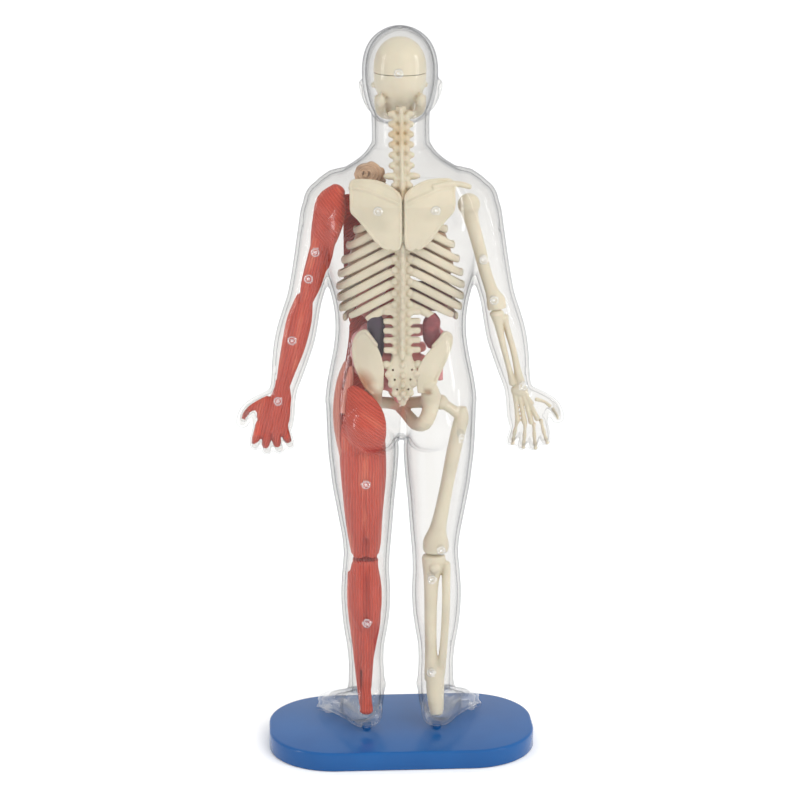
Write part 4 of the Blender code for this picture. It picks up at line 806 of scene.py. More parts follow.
def arm_muscle(room):
    rows = [
        [(25.6, 1.0, 240.0, 3.2, 4.4), (28.2, 1.2, 235.0, 6.2, 7.0), (29.8, 1.2, 227.0, 6.4, 7.0),
         (32.4, 1.0, 217.0, 4.8, 6.0), (34.8, 0.6, 209.0, 1.9, 3.0)],
        [(28.6, 4.6, 226.0, 2.6, 2.8), (31.2, 5.0, 214.0, 3.2, 3.2), (34.8, 4.0, 203.0, 2.8, 2.8),
         (38.4, 2.8, 193.0, 1.6, 1.8)],
        [(34.2, 4.2, 219.0, 2.4, 2.6), (36.2, 4.6, 210.0, 2.9, 3.0), (38.8, 3.6, 201.0, 2.4, 2.6),
         (39.8, 2.6, 193.0, 1.6, 1.7)],
        [(30.6, -2.6, 226.0, 3.4, 3.2), (34.2, -3.4, 212.0, 3.8, 3.6), (37.6, -2.8, 199.0, 3.0, 2.8),
         (40.0, -1.0, 191.0, 2.6, 2.6)],
        [(38.4, 1.8, 195.0, 2.2, 2.6), (39.4, 1.8, 186.0, 2.7, 3.0), (42.0, 1.8, 175.0, 2.5, 2.6),
         (45.4, 0.4, 164.0, 1.7, 1.9), (47.6, -0.4, 157.0, 1.3, 1.5)],
        [(41.0, 2.8, 193.0, 1.7, 2.0), (42.8, 3.0, 184.0, 2.3, 2.3), (45.2, 2.4, 174.0, 2.0, 2.1),
         (47.8, 0.8, 163.0, 1.5, 1.6), (49.2, 0.0, 157.0, 1.2, 1.2)],
        [(41.2, 0.0, 196.0, 1.6, 2.2), (44.4, 0.0, 187.0, 2.3, 2.8), (46.8, 0.0, 177.0, 2.1, 2.5),
         (49.2, -0.4, 166.0, 1.5, 1.7), (50.8, -0.8, 157.0, 1.1, 1.2)],
        [(42.0, -2.6, 190.0, 3.0, 2.6), (44.0, -2.8, 178.0, 3.4, 2.7), (47.4, -2.2, 164.0, 2.4, 1.9),
         (49.2, -1.6, 156.0, 2.2, 1.5)],
        [(49.4, -0.8, 159.0, 3.4, 1.9), (51.0, -0.8, 152.0, 5.9, 2.2), (52.8, -0.8, 145.0, 7.4, 2.0),
         (53.8, -1.0, 138.5, 7.2, 1.7)],
        [(52.4, -0.8, 152.4, 4.0, 2.2), (57.0, -1.0, 150.2, 3.2, 2.1), (62.0, -1.4, 147.4, 2.3, 1.8),
         (65.0, -1.7, 144.0, 1.5, 1.4)],
    ]
    for a, m, b, _ in FINGERS:
        rows.append([(50.6 + (a[0] - 53.0) * 0.45, 0.6, 153.0, 0.7, 0.7), (a[0], 0.3, 141.0, 1.7, 1.2),
                     (*m, 1.85, 1.5), (b[0], b[1] - 0.2, b[2] + 2.6, 1.5, 1.4)])
    ob = melt(make("arm_muscle", lambda bm: bellies(bm, rows)), 0.36, 1)
    return combine(ob, copy_of(room, "room"), "INTERSECT", solver="MANIFOLD")


def thigh_muscle(room, pelvis_ob):
    rows = [
        [(18.6, 7.6, 138.0, 3.4, 3.4), (19.6, 6.8, 124.0, 4.4, 4.6), (19.0, 5.6, 106.0, 3.6, 4.0),
         (18.2, 4.6, 92.0, 2.4, 2.8), (18.2, 3.8, KNEE + 1, 2.2, 2.6)],
        [(12.6, 8.2, 138.0, 3.6, 3.6), (12.8, 7.8, 124.0, 4.2, 4.4), (12.0, 6.2, 106.0, 3.6, 4.0),
         (12.0, 4.8, 92.0, 2.4, 2.8), (12.2, 4.0, KNEE + 1, 2.0, 2.4)],
        [(15.6, 8.0, 136.0, 2.4, 4.6), (15.8, 7.2, 118.0, 2.8, 4.6), (15.0, 5.4, 102.0, 2.2, 3.6),
         (14.8, 4.6, 94.0, 1.2, 2.4)],
        [(21.8, 0.6, 146.0, 3.4, 6.6), (21.8, 0.4, 130.0, 4.0, 7.0), (20.6, 0.0, 112.0, 4.0, 6.4),
         (19.4, -1.0, 95.0, 3.4, 4.8), (18.4, -1.2, KNEE + 1, 2.6, 4.0)],
        [(10.2, 1.0, 136.0, 3.6, 8.0), (10.2, 1.0, 120.0, 4.0, 7.4), (10.8, 0.4, 104.0, 3.2, 6.2),
         (11.0, -0.6, 90.0, 2.6, 4.8), (11.4, -1.0, KNEE + 1, 2.2, 4.0)],
        [(15.6, -6.0, 142.0, 8.0, 5.4), (15.6, -6.6, 122.0, 8.2, 5.4), (14.8, -5.4, 102.0, 6.6, 4.6),
         (14.4, -4.4, 88.0, 5.0, 3.6), (14.4, -4.0, KNEE + 1, 4.8, 3.2)],
    ]

    def draw(bm):
        bellies(bm, rows, 12)
        loft(bm, [(15.4, 0.8, 137.0, 9.0, 8.0), (14.6, 0.0, KNEE + 0.7, 5.0, 4.8)], seg=16)
        loft(bm, [(20.6, 6.4, 158.0, 2.4, 2.2), (17.8, 8.6, 153.0, 6.0, 4.4), (15.4, 9.6, 146.0, 8.2, 5.6),
                  (14.6, 9.4, 138.0, 7.8, 5.4), (15.4, 8.4, 131.0, 5.4, 4.2)], seg=18, power=2.4, ends=0.5)
        ball(bm, (20.4, 3.4, 137.0), (5.4, 7.6, 11.0), 16, 10)
    ob = melt(make("thigh", draw), 0.4, 1)
    sculpt(ob, [((15.0, 14.0, 130.5), (10.0, 6.0, 1.3), -1.3), ((15.4, 11.0, 108.0), (0.9, 5.0, 18.0), -1.1)])
    combine(ob, copy_of(room, "room"), "INTERSECT", solver="MANIFOLD")
    clear_of(ob, pelvis_ob, 0.5)
    return clip_to(ob, (-60, -60, KNEE + 0.7), (60, 60, 175))


def hip_strip(room):
    """The pale bands that run down the outside of the hip."""
    def draw(bm):
        loft(bm, [(22.6, -2.4, 167.0, 1.0, 1.6), (24.8, -1.0, 160.0, 1.7, 3.2), (26.2, 0.6, 150.0, 2.0, 4.6),
                  (26.0, 1.2, 140.0, 2.0, 4.8), (24.6, 1.0, 128.0, 1.2, 3.0)], seg=10, ends=0.6)
        loft(bm, [(20.4, 2.0, 166.0, 1.2, 1.4), (22.0, 4.0, 158.0, 1.8, 2.2), (23.6, 5.4, 148.0, 1.6, 2.2)],
             seg=10, ends=0.6)
    ob = melt(make("strip", draw), 0.36, 1)
    return combine(ob, copy_of(room, "room"), "INTERSECT", solver="MANIFOLD")


def calf_muscle(room):
    rows = [
        [(18.4, 2.8, 81.0, 2.6, 2.8), (18.8, 4.6, 72.0, 3.8, 4.0), (18.2, 5.0, 62.0, 3.7, 3.9),
         (17.0, 4.4, 53.0, 2.2, 2.6)],
        [(12.4, 2.8, 81.0, 2.4, 2.8), (12.0, 4.8, 71.0, 3.6, 4.2), (12.4, 5.2, 60.0, 3.6, 4.0),
         (13.2, 4.4, 50.0, 2.2, 2.6)],
        [(14.8, 1.6, 72.0, 6.0, 4.6), (14.9, 2.2, 56.0, 6.2, 4.6), (15.0, 2.8, 44.0, 4.2, 3.4),
         (15.0, 3.0, 34.0, 2.4, 2.4)],
        [(15.0, 4.6, 54.0, 2.4, 1.8), (15.0, 4.6, 40.0, 1.8, 1.6), (15.0, 4.6, 26.0, 1.9, 1.7),
         (15.1, 6.0, 16.0, 2.9, 2.8)],
        [(14.9, -3.2, 82.0, 5.0, 3.6), (15.2, -3.4, 70.0, 5.8, 4.2), (15.2, -2.6, 52.0, 5.0, 3.8),
         (15.0, -1.4, 34.0, 3.2, 2.8), (15.2, -0.4, 24.0, 2.6, 2.6)],
        [(20.8, 0.0, 76.0, 1.8, 2.8), (20.9, 0.2, 62.0, 1.9, 3.2), (19.0, 0.4, 44.0, 1.8, 2.4),
         (17.6, 1.6, 26.0, 1.4, 1.8), (16.6, 3.6, 18.0, 1.4, 2.0)],
    ]

    def draw(bm):
        bellies(bm, rows, 12)
        loft(bm, [(15.0, 0, KNEE - 1.6, 5.4, 5.6), (15.2, 0.4, 70.0, 5.4, 5.6),
                  (15.0, 0.6, 50.0, 4.6, 4.2)], seg=16)
    ob = melt(make("calf", draw), 0.36, 1)
    sculpt(ob, [((15.0, 9.0, 64.0), (1.3, 6.0, 14.0), -0.6), ((15.0, 7.0, 34.0), (3.0, 5.0, 1.0), -0.3)])
    return combine(ob, copy_of(room, "room"), "INTERSECT", solver="MANIFOLD")


def torso_muscle():
    def sheet(bm, s):
        column(bm, TRUNK, seg=40, power=2.25, shrink=s)
        for x in (13.0, -13.0):
            ball(bm, (x, -12.6, 222.0), [r - s for r in (13.0, 9.4, 9.5)], 24, 16)
    a = melt(make("a", lambda bm: sheet(bm, 2.45)), 0.55, 3)
    grooves = [((5.2, -16.0, z), (6.0, 4.0, 0.7), -0.35) for z in (196.0, 187.0, 178.0)]
    grooves += [((11.4, -15.0, 182.0), (0.8, 5.0, 22.0), -0.35)]
    grooves += [((14.0, -18.0, 211.0), (11.0, 5.0, 1.1), -0.4)]
    grooves += [((18.0 + k, -11.0, 206.0 - 6 * k), (4.0, 5.0, 0.7), -0.35) for k in range(5)]
    sculpt(a, grooves)
    b = melt(make("b", lambda bm: sheet(bm, 3.35)), 0.55, 3)
    combine(a, b, solver="MANIFOLD")
    return clip_to(a, (1.6, -40, 152), (23.0, -9.9, 236))


# ---------------------------------------------------------------- organs
LUNG = [(12.4, -1.6, 203.6, 6.6, 6.6), (12.9, -2.4, 207, 8.8, 8.4), (12.2, -2.6, 213, 8.5, 8.6),
        (11.0, -2.4, 220, 7.3, 7.7), (9.1, -2.2, 226, 5.4, 6.2), (7.4, -2.2, 231, 3.6, 4.6),
        (6.8, -2.2, 234, 2.2, 3.0)]
HEART = (3.6, -5.6, 212.0)
APEX_HOLE = (14.2, 3.4, 246.8)


def lung(side):
    st = LUNG if side > 0 else mirrored(LUNG)

    def draw(bm):
        loft(bm, st, seg=14, ends=0.3)
        if side > 0:
            loft(bm, [(7.4, -2.6, 232, 2.8, 3.6), (8.6, -1.2, 239, 3.2, 3.2), (11.6, 1.2, 243.6, 5.8, 2.8),
                      (13.2, 2.0, 246.8, 6.2, 2.6), (14.0, 2.0, 249.8, 4.2, 2.0)], seg=12, ends=0.7)
    ob = melt(make("lung", draw), 0.34, 2)
    x, _, z = HEART
    room = make("room", lambda bm: loft(bm, [(x, 0.8, z, 6.2, 8.2), (x, -24, z, 6.2, 8.2)],
                                        ref=(0, 0, 1), seg=16))
    combine(ob, room)
    if side > 0:
        hole = Vector(APEX_HOLE)
        ob.data.update()
        for v in ob.data.vertices:
            p = v.co / MM
            if p.z > 238:
                r = math.hypot(p.x - hole.x, (p.z - hole.z) * 1.25)
                v.co += v.normal * (0.24 * math.sin(r * 4.4) - 1.7 * math.exp(-(r / 1.2) ** 2)) * MM
    return ob


def heart():
    x, y, z = HEART

    def draw(bm):
        ball(bm, (x + 0.6, y - 0.2, z - 1.2), (4.9, 4.8, 6.0), turn=0.35)
        ball(bm, (x - 1.4, y + 0.4, z + 2.8), (3.8, 4.0, 3.8))
        rod(bm, (x - 0.4, y, z + 3), (x - 1.2, y + 0.6, z + 7.2), 1.3)
        rod(bm, (x + 1.6, y, z + 3), (x + 2.6, y + 0.4, z + 6.4), 1.0)
        loft(bm, [(x - 1.0, y - 4.0, z + 3.0, 0.4, 0.4), (x + 0.6, y - 4.9, z - 1.0, 0.4, 0.4),
                  (x + 2.4, y - 3.9, z - 5.0, 0.3, 0.3)], ref=(1, 0, 0), seg=6)
    return melt(make("heart", draw), 0.34, 1)


def liver():
    return make("liver", lambda bm: loft(
        bm, [(-20.0, -2.2, 193.6, 3.2, 3.8), (-16.6, -2.4, 194, 5.4, 5.8), (-10, -3.6, 194.8, 6.0, 7.4),
             (-4, -5.0, 196.2, 4.4, 6.8), (0.6, -6.2, 197.6, 2.4, 4.4)], seg=16, ends=0.4))


def stomach():
    ob = make("stomach", lambda bm: loft(
        bm, [(4.8, -4.4, 200.6, 1.5, 1.5), (8.0, -4.6, 198.8, 3.2, 4.0), (12.4, -3.6, 196.4, 5.0, 5.4),
             (14.4, -3.6, 191.6, 4.4, 4.9), (11.4, -5.4, 187.4, 3.4, 4.2), (6.6, -7.0, 187.2, 2.2, 3.0),
             (3.6, -7.2, 188.8, 1.6, 2.0)], seg=14, ends=0.6))
    return melt(ob)


def kidney(side):
    """The left one lies closer to the spine and reaches lower."""
    x, drop = (10.4, 6.0) if side > 0 else (-12.2, 0.0)
    return make("kidney", lambda bm: loft(
        bm, [(x + side * 0.8, 2.6, 174.8 - drop, 2.4, 2.0),
             (x + side * 0.6, 3.0, 178.0 - drop * 0.8, 3.8, 2.6),
             (x, 3.6, 181.8 - drop * 0.4, 3.5, 2.6), (x + side * 0.2, 4.6, 185.8, 3.6, 2.6),
             (x, 5.0, 188.4, 2.2, 1.9)], seg=14, ends=0.5))

COLON = [(-16.0, -3.4, 160.8), (-17.8, -3.4, 165.5), (-18.2, -3.4, 171.0), (-17.6, -3.6, 176.6),
         (-13.6, -4.8, 180.4), (-7.0, -6.8, 179.4), (0.0, -7.6, 178.2), (7.0, -6.8, 179.4),
         (13.6, -4.8, 180.6), (17.6, -3.6, 177.0), (18.2, -3.2, 171.0), (17.4, -2.8, 165.0),
         (13.4, -1.6, 160.2), (7.6, -0.6, 158.4), (3.0, 1.8, 157.0), (0.4, 4.2, 153.4)]


def colon():
    pts = [Vector(p) for p in COLON]
    st = []
    for i, p in enumerate(pts):
        st.append((*p, 2.7, 2.7))
        if i + 1 < len(pts):
            st.append((*((p + pts[i + 1]) / 2), 2.25, 2.25))
    return make("colon", lambda bm: loft(bm, st, seg=8, ends=0.8))


def small_gut():
    rows = (171.4, 167.4, 163.4)
    pts = []
    for k, z in enumerate(rows):
        s = 1 if k % 2 == 0 else -1
        w = 9.4 - 0.9 * k
        for x in (-w, -w / 2, 0, w / 2, w):
            pts.append((s * x, -9.0 + 0.8 * math.sin(x * 0.7 + k), z + 0.7 * math.sin(x * 0.6)))
        if k < 2:
            pts.append((s * (w + 1.6), -9.0, z - 2.0))
    ob = make("gut", lambda bm: loft(bm, [(*p, 2.15, 3.2) for p in pts], seg=10, ends=0.8))
    return melt(ob)


def bladder():
    return make("bladder", lambda bm: ball(bm, (0, -6.8, 153.4), (4.9, 4.0, 3.4), 14, 10))


# ---------------------------------------------------------------- shell
POSTS = [(1.6, 288.0), (10.2, 234.0), (-13.0, 234.0), (35.2, 216.0), (38.0, 205.0), (45.0, 179.0),
         (51.0, 152.5), (15.3, 119.5), (14.9, 57.0), (-24.3, 138.5), (-16.4, 88.4), (-12.4, 76.0),
         (-12.4, 33.0), (-33.0, 212.0), (-37.6, 195.0), (-50.6, 157.5)]
CLIPS = [(1, 227.0), (1, 165.0), (-1, 163.0), (1, 44.0), (-1, 43.0), (-1, 224.0)]


def shells(contents):
    """The front and back halves of the clear body, with their posts and clips."""
    outer = body_volume("outer", 0.0, VOXEL_SKIN, 6)
    sculpt(outer, BODY + FACE)
    outer_tree = tree_of(outer)
    inner = body_volume("inner", WALL, VOXEL_SKIN, 6)
    combine(outer, inner, solver="MANIFOLD")
    trees = [tree_of(c) for c in contents]
    bosses = []

    def posts(bm):
        for x, z in POSTS:
            skin, inside = first_y([outer_tree], x, z), first_y(trees, x, z)
            if skin is None or inside is None or skin - inside < POST_SHORTEST:
                continue
            bosses.append((x, skin, z))
            rod(bm, (x, skin - 0.5, z), (x, inside + 0.6, z), POST_R, 16)
            turn = [math.radians(24 * k) for k in range(16)]
            loft(bm, [(x + POST_R * math.cos(a), skin - 0.02, z + POST_R * math.sin(a), 0.26, 0.3)
                      for a in turn], ref=(0, 1, 0), seg=5)
    combine(outer, make("posts", posts), "UNION", solver="MANIFOLD")

    def dimples(bm):
        for x, skin, z in bosses:
            ball(bm, (x, skin + 0.35, z), (0.8, 0.8, 0.8), 12, 8)
    combine(outer, make("dimples", dimples), solver="MANIFOLD")

    def clips(bm):
        for s, z in CLIPS:
            hit = outer_tree.ray_cast(Vector((s * 0.1, 0, z * MM)), Vector((-s, 0, 0)))[0]
            x = abs(hit.x) / MM
            box(bm, (min(s * (x - 1.8), s * (x - 0.4)), -2.2, z - 1.8),
                (max(s * (x - 1.8), s * (x - 0.4)), 2.2, z + 1.8))
    combine(outer, make("clips", clips), "UNION", solver="MANIFOLD")
    holes = make("holes", lambda bm: [rod(bm, (s * PEG_AT[0], PEG_AT[1], SOLE - 4),
                                          (s * PEG_AT[0], PEG_AT[1], SOLE + 3.2), PEG_HOLE_R)
                                      for s in (1, -1)])
    combine(outer, holes, solver="MANIFOLD")
    front = clip_to(copy_of(outer, "front"), (-200, -200, -10), (200, -SEAM, 400))
    back = clip_to(outer, (-200, SEAM, -10), (200, 200, 400))
    return front, back, bosses


# ---------------------------------------------------------------- materials
class Nodes:
    """Short ways to add and link shader nodes."""

    def __init__(self, name):
        self.mat = bpy.data.materials.new(name)
        self.mat.use_nodes = True
        self.tree = self.mat.node_tree
        self.tree.nodes.clear()
        self.out = self.add("ShaderNodeOutputMaterial")
        self.place = self.add("ShaderNodeTexCoord").outputs["Object"]

    def add(self, kind, **sockets):
        n = self.tree.nodes.new(kind)
        for key, value in sockets.items():
            self.set(n, key, value)
        return n

    def set(self, n, key, value):
        key = int(key[1:]) if key[0] == "i" and key[1:].isdigit() else key.replace("_", " ")
        if isinstance(value, bpy.types.NodeSocket):
            self.tree.links.new(value, n.inputs[key])
        else:
            n.inputs[key].default_value = value

    def noise(self, scale, detail=3.0, stretch=None, turn=(0, 0, 0), rough=0.5):
        place = self.turned(turn) if any(turn) else self.place
        if stretch:
            place = self.add("ShaderNodeMapping", Vector=place, Scale=stretch).outputs[0]
        return self.add("ShaderNodeTexNoise", Vector=place, Scale=scale, Detail=detail,
                        Roughness=rough).outputs["Fac"]

    def turned(self, turn):
        return self.add("ShaderNodeMapping", Vector=self.place, Rotation=turn).outputs[0]

    def lines(self, pitch, turn, wander):
        """Lines a pitch (m) apart that run along Z before the turn."""
        n = self.add("ShaderNodeTexWave", Vector=self.turned(turn), Scale=0.314 / pitch, Distortion=wander,
                     Detail=2.0, Detail_Scale=0.6)
        return n.outputs["Fac"]

    def ramp(self, fac, *stops):
        n = self.add("ShaderNodeValToRGB", Fac=fac)
        e = n.color_ramp.elements
        while len(e) < len(stops):
            e.new(0.5)
        for k, (at, rgb) in enumerate(stops):
            e[k].position = at
            e[k].color = (*rgb, 1.0) if hasattr(rgb, "__len__") else (rgb, rgb, rgb, 1.0)
        return n.outputs["Color"]

    def mix(self, fac, a, b, how="MIX"):
        n = self.add("ShaderNodeMix")
        n.data_type, n.blend_type = "RGBA", how
        for k, value in ((0, fac), (6, a), (7, b)):
            if isinstance(value, bpy.types.NodeSocket):
                self.tree.links.new(value, n.inputs[k])
            else:
                n.inputs[k].default_value = value if k == 0 else (*value, 1.0)
        return n.outputs[2]

    def math(self, how, a, b=0.0):
        n = self.add("ShaderNodeMath", i0=a, i1=b)
        n.operation = how
        return n.outputs[0]

    def bump(self, height, strength, distance):
        return self.add("ShaderNodeBump", Height=height, Strength=strength, Distance=distance).outputs[0]

    def shade(self, colour, rough, normal=None, **more):
        p = self.add("ShaderNodeBsdfPrincipled", Base_Color=colour, Roughness=rough, **more)
        if normal is not None:
            self.set(p, "Normal", normal)
        self.tree.links.new(p.outputs[0], self.out.inputs[0])
        return self.mat

    def hollow(self, reach):
        """Ambient occlusion, which the materials use to paint shade: 0 in folds and crevices, 1 on open
        surface.
        """
        n = self.add("ShaderNodeAmbientOcclusion", Distance=reach)
        n.only_local, n.samples = True, 6
        return n.outputs["AO"]


# centre, reach, colour and strength of the tinted patches on the skeleton; the first two, dark brown-orange
# low on the left hip, are painted shade
TINTS_AND_SHADE = (
    ((17.5, 9.0, 160.5), 7.5, (0.42, 0.15, 0.06), 0.85), ((12.0, 6.0, 155.0), 6.0, (0.50, 0.22, 0.10), 0.7),
    ((0.0, -7.0, 145.0), 7.0, (0.78, 0.36, 0.28), 0.6), ((1.6, 2.0, 262.0), 8.0, (0.62, 0.42, 0.18), 0.45),
    ((0.0, 9.0, 239.0), 5.0, (0.60, 0.40, 0.16), 0.5), ((0.0, 8.0, 162.0), 5.0, (0.62, 0.44, 0.20), 0.4),
    ((-10.5, 9.0, 157.0), 2.6, (0.36, 0.20, 0.10), 0.7),
)


# Cream bone plastic with painted shade in its hollows and folds; deep is the colour of the painted shade in
# the folds.
def bone_plastic(name="bone_cream", light=(0.77, 0.70, 0.545), deep=(0.46, 0.31, 0.14)):
    k = Nodes(name)
    cloud = k.ramp(k.noise(90, 4), (0.3, tuple(c * 0.88 for c in light)), (0.68, light))
    # painted shade: the colour turns toward dull ochre where the surface is hidden within 9 mm
    shade = k.ramp(k.hollow(0.009), (0.2, 1.0), (0.95, 0.0))
    colour = k.mix(k.math("MULTIPLY", shade, 0.45), cloud, (0.42, 0.33, 0.20))
    # painted shade: deep brown in tight folds and crevices
    fold = k.ramp(k.hollow(0.0022), (0.3, 1.0), (0.85, 0.0))
    colour = k.mix(k.math("MULTIPLY", fold, 0.72), colour, deep)
    # tinted patches; the two dark brown-orange ones low on the left hip are painted shade
    for centre, reach, rgb, most in TINTS_AND_SHADE:
        at = k.add("ShaderNodeVectorMath", i0=k.place, i1=tuple(c * MM for c in centre))
        at.operation = "DISTANCE"
        near = k.ramp(k.math("DIVIDE", at.outputs["Value"], reach * MM), (0.35, 1.0), (1.0, 0.0))
        colour = k.mix(k.math("MULTIPLY", near, most), colour, rgb)
    grain = k.bump(k.noise(900, 5), 0.10, 0.0004)
    rough = k.ramp(k.noise(220, 3), (0.3, 0.34), (0.7, 0.46))
    return k.shade(colour, rough, grain, Subsurface_Weight=0.10, Subsurface_Scale=0.0015,
                   Specular_IOR_Level=0.35)


def fibre_muscle(name, turn, light=(0.62, 0.080, 0.044), deep=(0.24, 0.012, 0.008), pale=(0.78, 0.19, 0.11)):
    """Soft red plastic with fine fibre lines along one direction, and painted shade in its folds."""
    k = Nodes(name)
    fibre = k.noise(1.0, 2, stretch=(1200, 1200, 26), turn=turn, rough=0.5)
    band = k.noise(1.0, 3, stretch=(220, 220, 24), turn=turn)
    base = k.ramp(band, (0.34, tuple(c * 0.92 for c in light)), (0.54, light), (0.76, pale))
    hatch = k.lines(0.00115, turn, 2.4)
    fibre = k.math("ADD", k.math("MULTIPLY", fibre, 0.5), k.math("MULTIPLY", hatch, 0.5))
    lines = k.ramp(fibre, (0.22, 1.0), (0.52, 0.0))
    colour = k.mix(k.math("MULTIPLY", lines, 0.42), base, deep)
    # painted shade: darker toward deep in folds and crevices
    fold = k.ramp(k.hollow(0.0035), (0.3, 1.0), (0.9, 0.0))
    colour = k.mix(k.math("MULTIPLY", fold, 0.6), colour, deep)
    height = k.math("ADD", k.math("MULTIPLY", fibre, 0.8), k.math("MULTIPLY", band, 0.5))
    return k.shade(colour, 0.5, k.bump(height, 0.8, 0.0008), Subsurface_Weight=0.06,
                   Subsurface_Scale=0.001, Specular_IOR_Level=0.25)


def soft_organ(name, light, deep, rough=0.34, scale=260):
    """Squeezable plastic with cloudy colour, painted shade in its folds and a fine wet-looking grain."""
    k = Nodes(name)
    cloud = k.ramp(k.noise(scale, 5), (0.35, deep), (0.62, light))
    # painted shade: much darker in folds and crevices
    fold = k.ramp(k.hollow(0.0018), (0.3, 1.0), (0.9, 0.0))
    colour = k.mix(k.math("MULTIPLY", fold, 0.6), cloud, tuple(c * 0.35 for c in deep))
    return k.shade(colour, rough, k.bump(k.noise(scale * 3, 4), 0.2, 0.0004))


def blue_plastic():
    k = Nodes("stand_blue")
    colour = k.ramp(k.noise(35, 4), (0.3, (0.005, 0.070, 0.235)), (0.7, (0.006, 0.084, 0.270)))
    rough = k.ramp(k.noise(300, 3), (0.3, 0.18), (0.7, 0.24))
    return k.shade(colour, rough, k.bump(k.noise(700, 2), 0.02, 0.0003), Coat_Weight=0.05, Coat_Roughness=0.1,
                   Specular_IOR_Level=0.3)


def clear_plastic(name="clear_plastic", thin=1.0, glint=0.028, rim=0.26):
    """Thin clear plastic: see-through, glossy, greyer where it is seen along its wall; that grey is partly
    the wall's thickness and partly painted shade for dark surroundings seen through the wall.
    """
    k = Nodes(name)
    facing = k.add("ShaderNodeLayerWeight", Blend=0.5).outputs["Facing"]
    # the grey toward grazing angles: partly the wall's thickness, partly painted shade; thin scales it
    shades = ((0.0, (0.938, 0.935, 0.928)), (0.45, (0.915, 0.912, 0.906)), (0.72, (0.79, 0.79, 0.79)),
              (0.90, (0.48, 0.482, 0.49)), (1.0, (0.14, 0.143, 0.15)))
    tint = k.ramp(facing, *[(at, tuple(max(0.03, 1 - (1 - c) * thin) for c in rgb)) for at, rgb in shades])
    through = k.add("ShaderNodeBsdfTransparent", Color=tint)
    ripple = k.bump(k.noise(160, 2), 0.12, 0.0006)
    gloss = k.add("ShaderNodeBsdfGlossy", Color=(0.9, 0.91, 0.93, 1), Roughness=0.09, Normal=ripple)
    glance = k.math("ADD", k.math("MULTIPLY", k.math("POWER", facing, 3.0), rim), glint)
    both_ways = k.add("ShaderNodeMixShader", i0=glance)
    k.tree.links.new(through.outputs[0], both_ways.inputs[1])
    k.tree.links.new(gloss.outputs[0], both_ways.inputs[2])
    k.tree.links.new(both_ways.outputs[0], k.out.inputs[0])
    return k.mat


# ---------------------------------------------------------------- stage
def stage():
    floor = make("floor", lambda bm: bmesh.ops.create_grid(bm, x_segments=2, y_segments=2, size=6.0))
    floor.location.z = -0.0002
    k = Nodes("floor_white")
    floor.data.materials.append(k.shade((0.965, 0.965, 0.965, 1), 0.7))
    world = bpy.data.worlds.new("studio")
    world.use_nodes = True
    bg = world.node_tree.nodes["Background"]
    bg.inputs["Color"].default_value = (1, 1, 1, 1)
    bg.inputs["Strength"].default_value = 0.84
    bpy.context.scene.world = world
    target = Vector((0, 0, 0.15))
    sun = bpy.data.lights.new("window", "SUN")
    sun.energy, sun.angle = 1.2, math.radians(60)
    lamp = bpy.data.objects.new("window", sun)
    lamp.rotation_euler = Vector((0.75, -0.9, -1.25)).to_track_quat("-Z", "Y").to_euler()
    lamp.visible_glossy = False
    bpy.context.scene.collection.objects.link(lamp)
    lamps = (                            # name, place, width, height, watts, seen in reflections
        ("key", (-0.6, 0.9, 1.1), 0.6, 0.6, 2.6, False),
        ("fill", (0.95, 0.7, 0.55), 0.5, 0.5, 1.0, False),
        ("front", (0.1, -1.0, 0.8), 0.7, 0.7, 1.4, False),
        ("streak_left", (1.3, 0.5, 0.5), 0.07, 1.2, 3.0, True),
        ("streak_right", (-1.2, 0.75, 0.5), 0.07, 1.2, 3.0, True),
    )
    for name, place, width, tall, power, mirrors in lamps:
        data = bpy.data.lights.new(name, "AREA")
        data.shape, data.energy, data.size, data.size_y = "RECTANGLE", power, width, tall
        lamp = bpy.data.objects.new(name, data)
        lamp.location = place
        lamp.rotation_euler = (target - lamp.location).to_track_quat("-Z", "Y").to_euler()
        lamp.visible_glossy = mirrors
        bpy.context.scene.collection.objects.link(lamp)


def camera(azimuth=176.8, elevation=14.8, distance=1.0, target=(0.0004, 0.0, 0.1513), lens=108.4):
    az, el = math.radians(azimuth), math.radians(elevation)
    data = bpy.data.cameras.new("camera")
    data.lens, data.sensor_width, data.clip_start = lens, 36.0, 0.01
    cam = bpy.data.objects.new("camera", data)
    eye = Vector((math.sin(az) * math.cos(el), -math.cos(az) * math.cos(el), math.sin(el))) * distance
    cam.location = Vector(target) + eye
    cam.rotation_euler = (-eye).to_track_quat("-Z", "Y").to_euler()
    bpy.context.scene.collection.objects.link(cam)
    bpy.context.scene.camera = cam


# ---------------------------------------------------------------- build
def show(ob, name, node, mat, sharp=40.0):
    """Puts a finished piece in place of its frame node."""
    ob.name = ob.data.name = name
    ob.data.materials.clear()
    ob.data.materials.append(mat)
    ob.data.shade_smooth()
    ob.data.set_sharp_from_angle(angle=math.radians(sharp))
    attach(ob, BODY_OF[node])
    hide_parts(node)
    return ob


def paint(ob, mat, where):
    """Gives the faces whose centre (mm) passes the test a second material."""
    ob.data.materials.append(mat)
    at = len(ob.data.materials) - 1
    for p in ob.data.polygons:
        if where(p.center / MM):
            p.material_index = at


for _ob in list(bpy.data.objects):
    bpy.data.objects.remove(_ob)
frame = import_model()
BODY_OF = {n: b for b, ns in frame["record"]["behaviour"]["bodies"].items() for n in ns}


def soft(node, form, slot, light, deep, scale=260):
    """One organ in its own soft plastic."""
    return piece(form, node, soft_organ(slot, light, deep, scale=scale))


def piece(ob, node, mat):
    """A piece inside the shells; each one is kept for placing the posts."""
    contents.append(show(ob, node + "_piece", node, mat))
    return ob


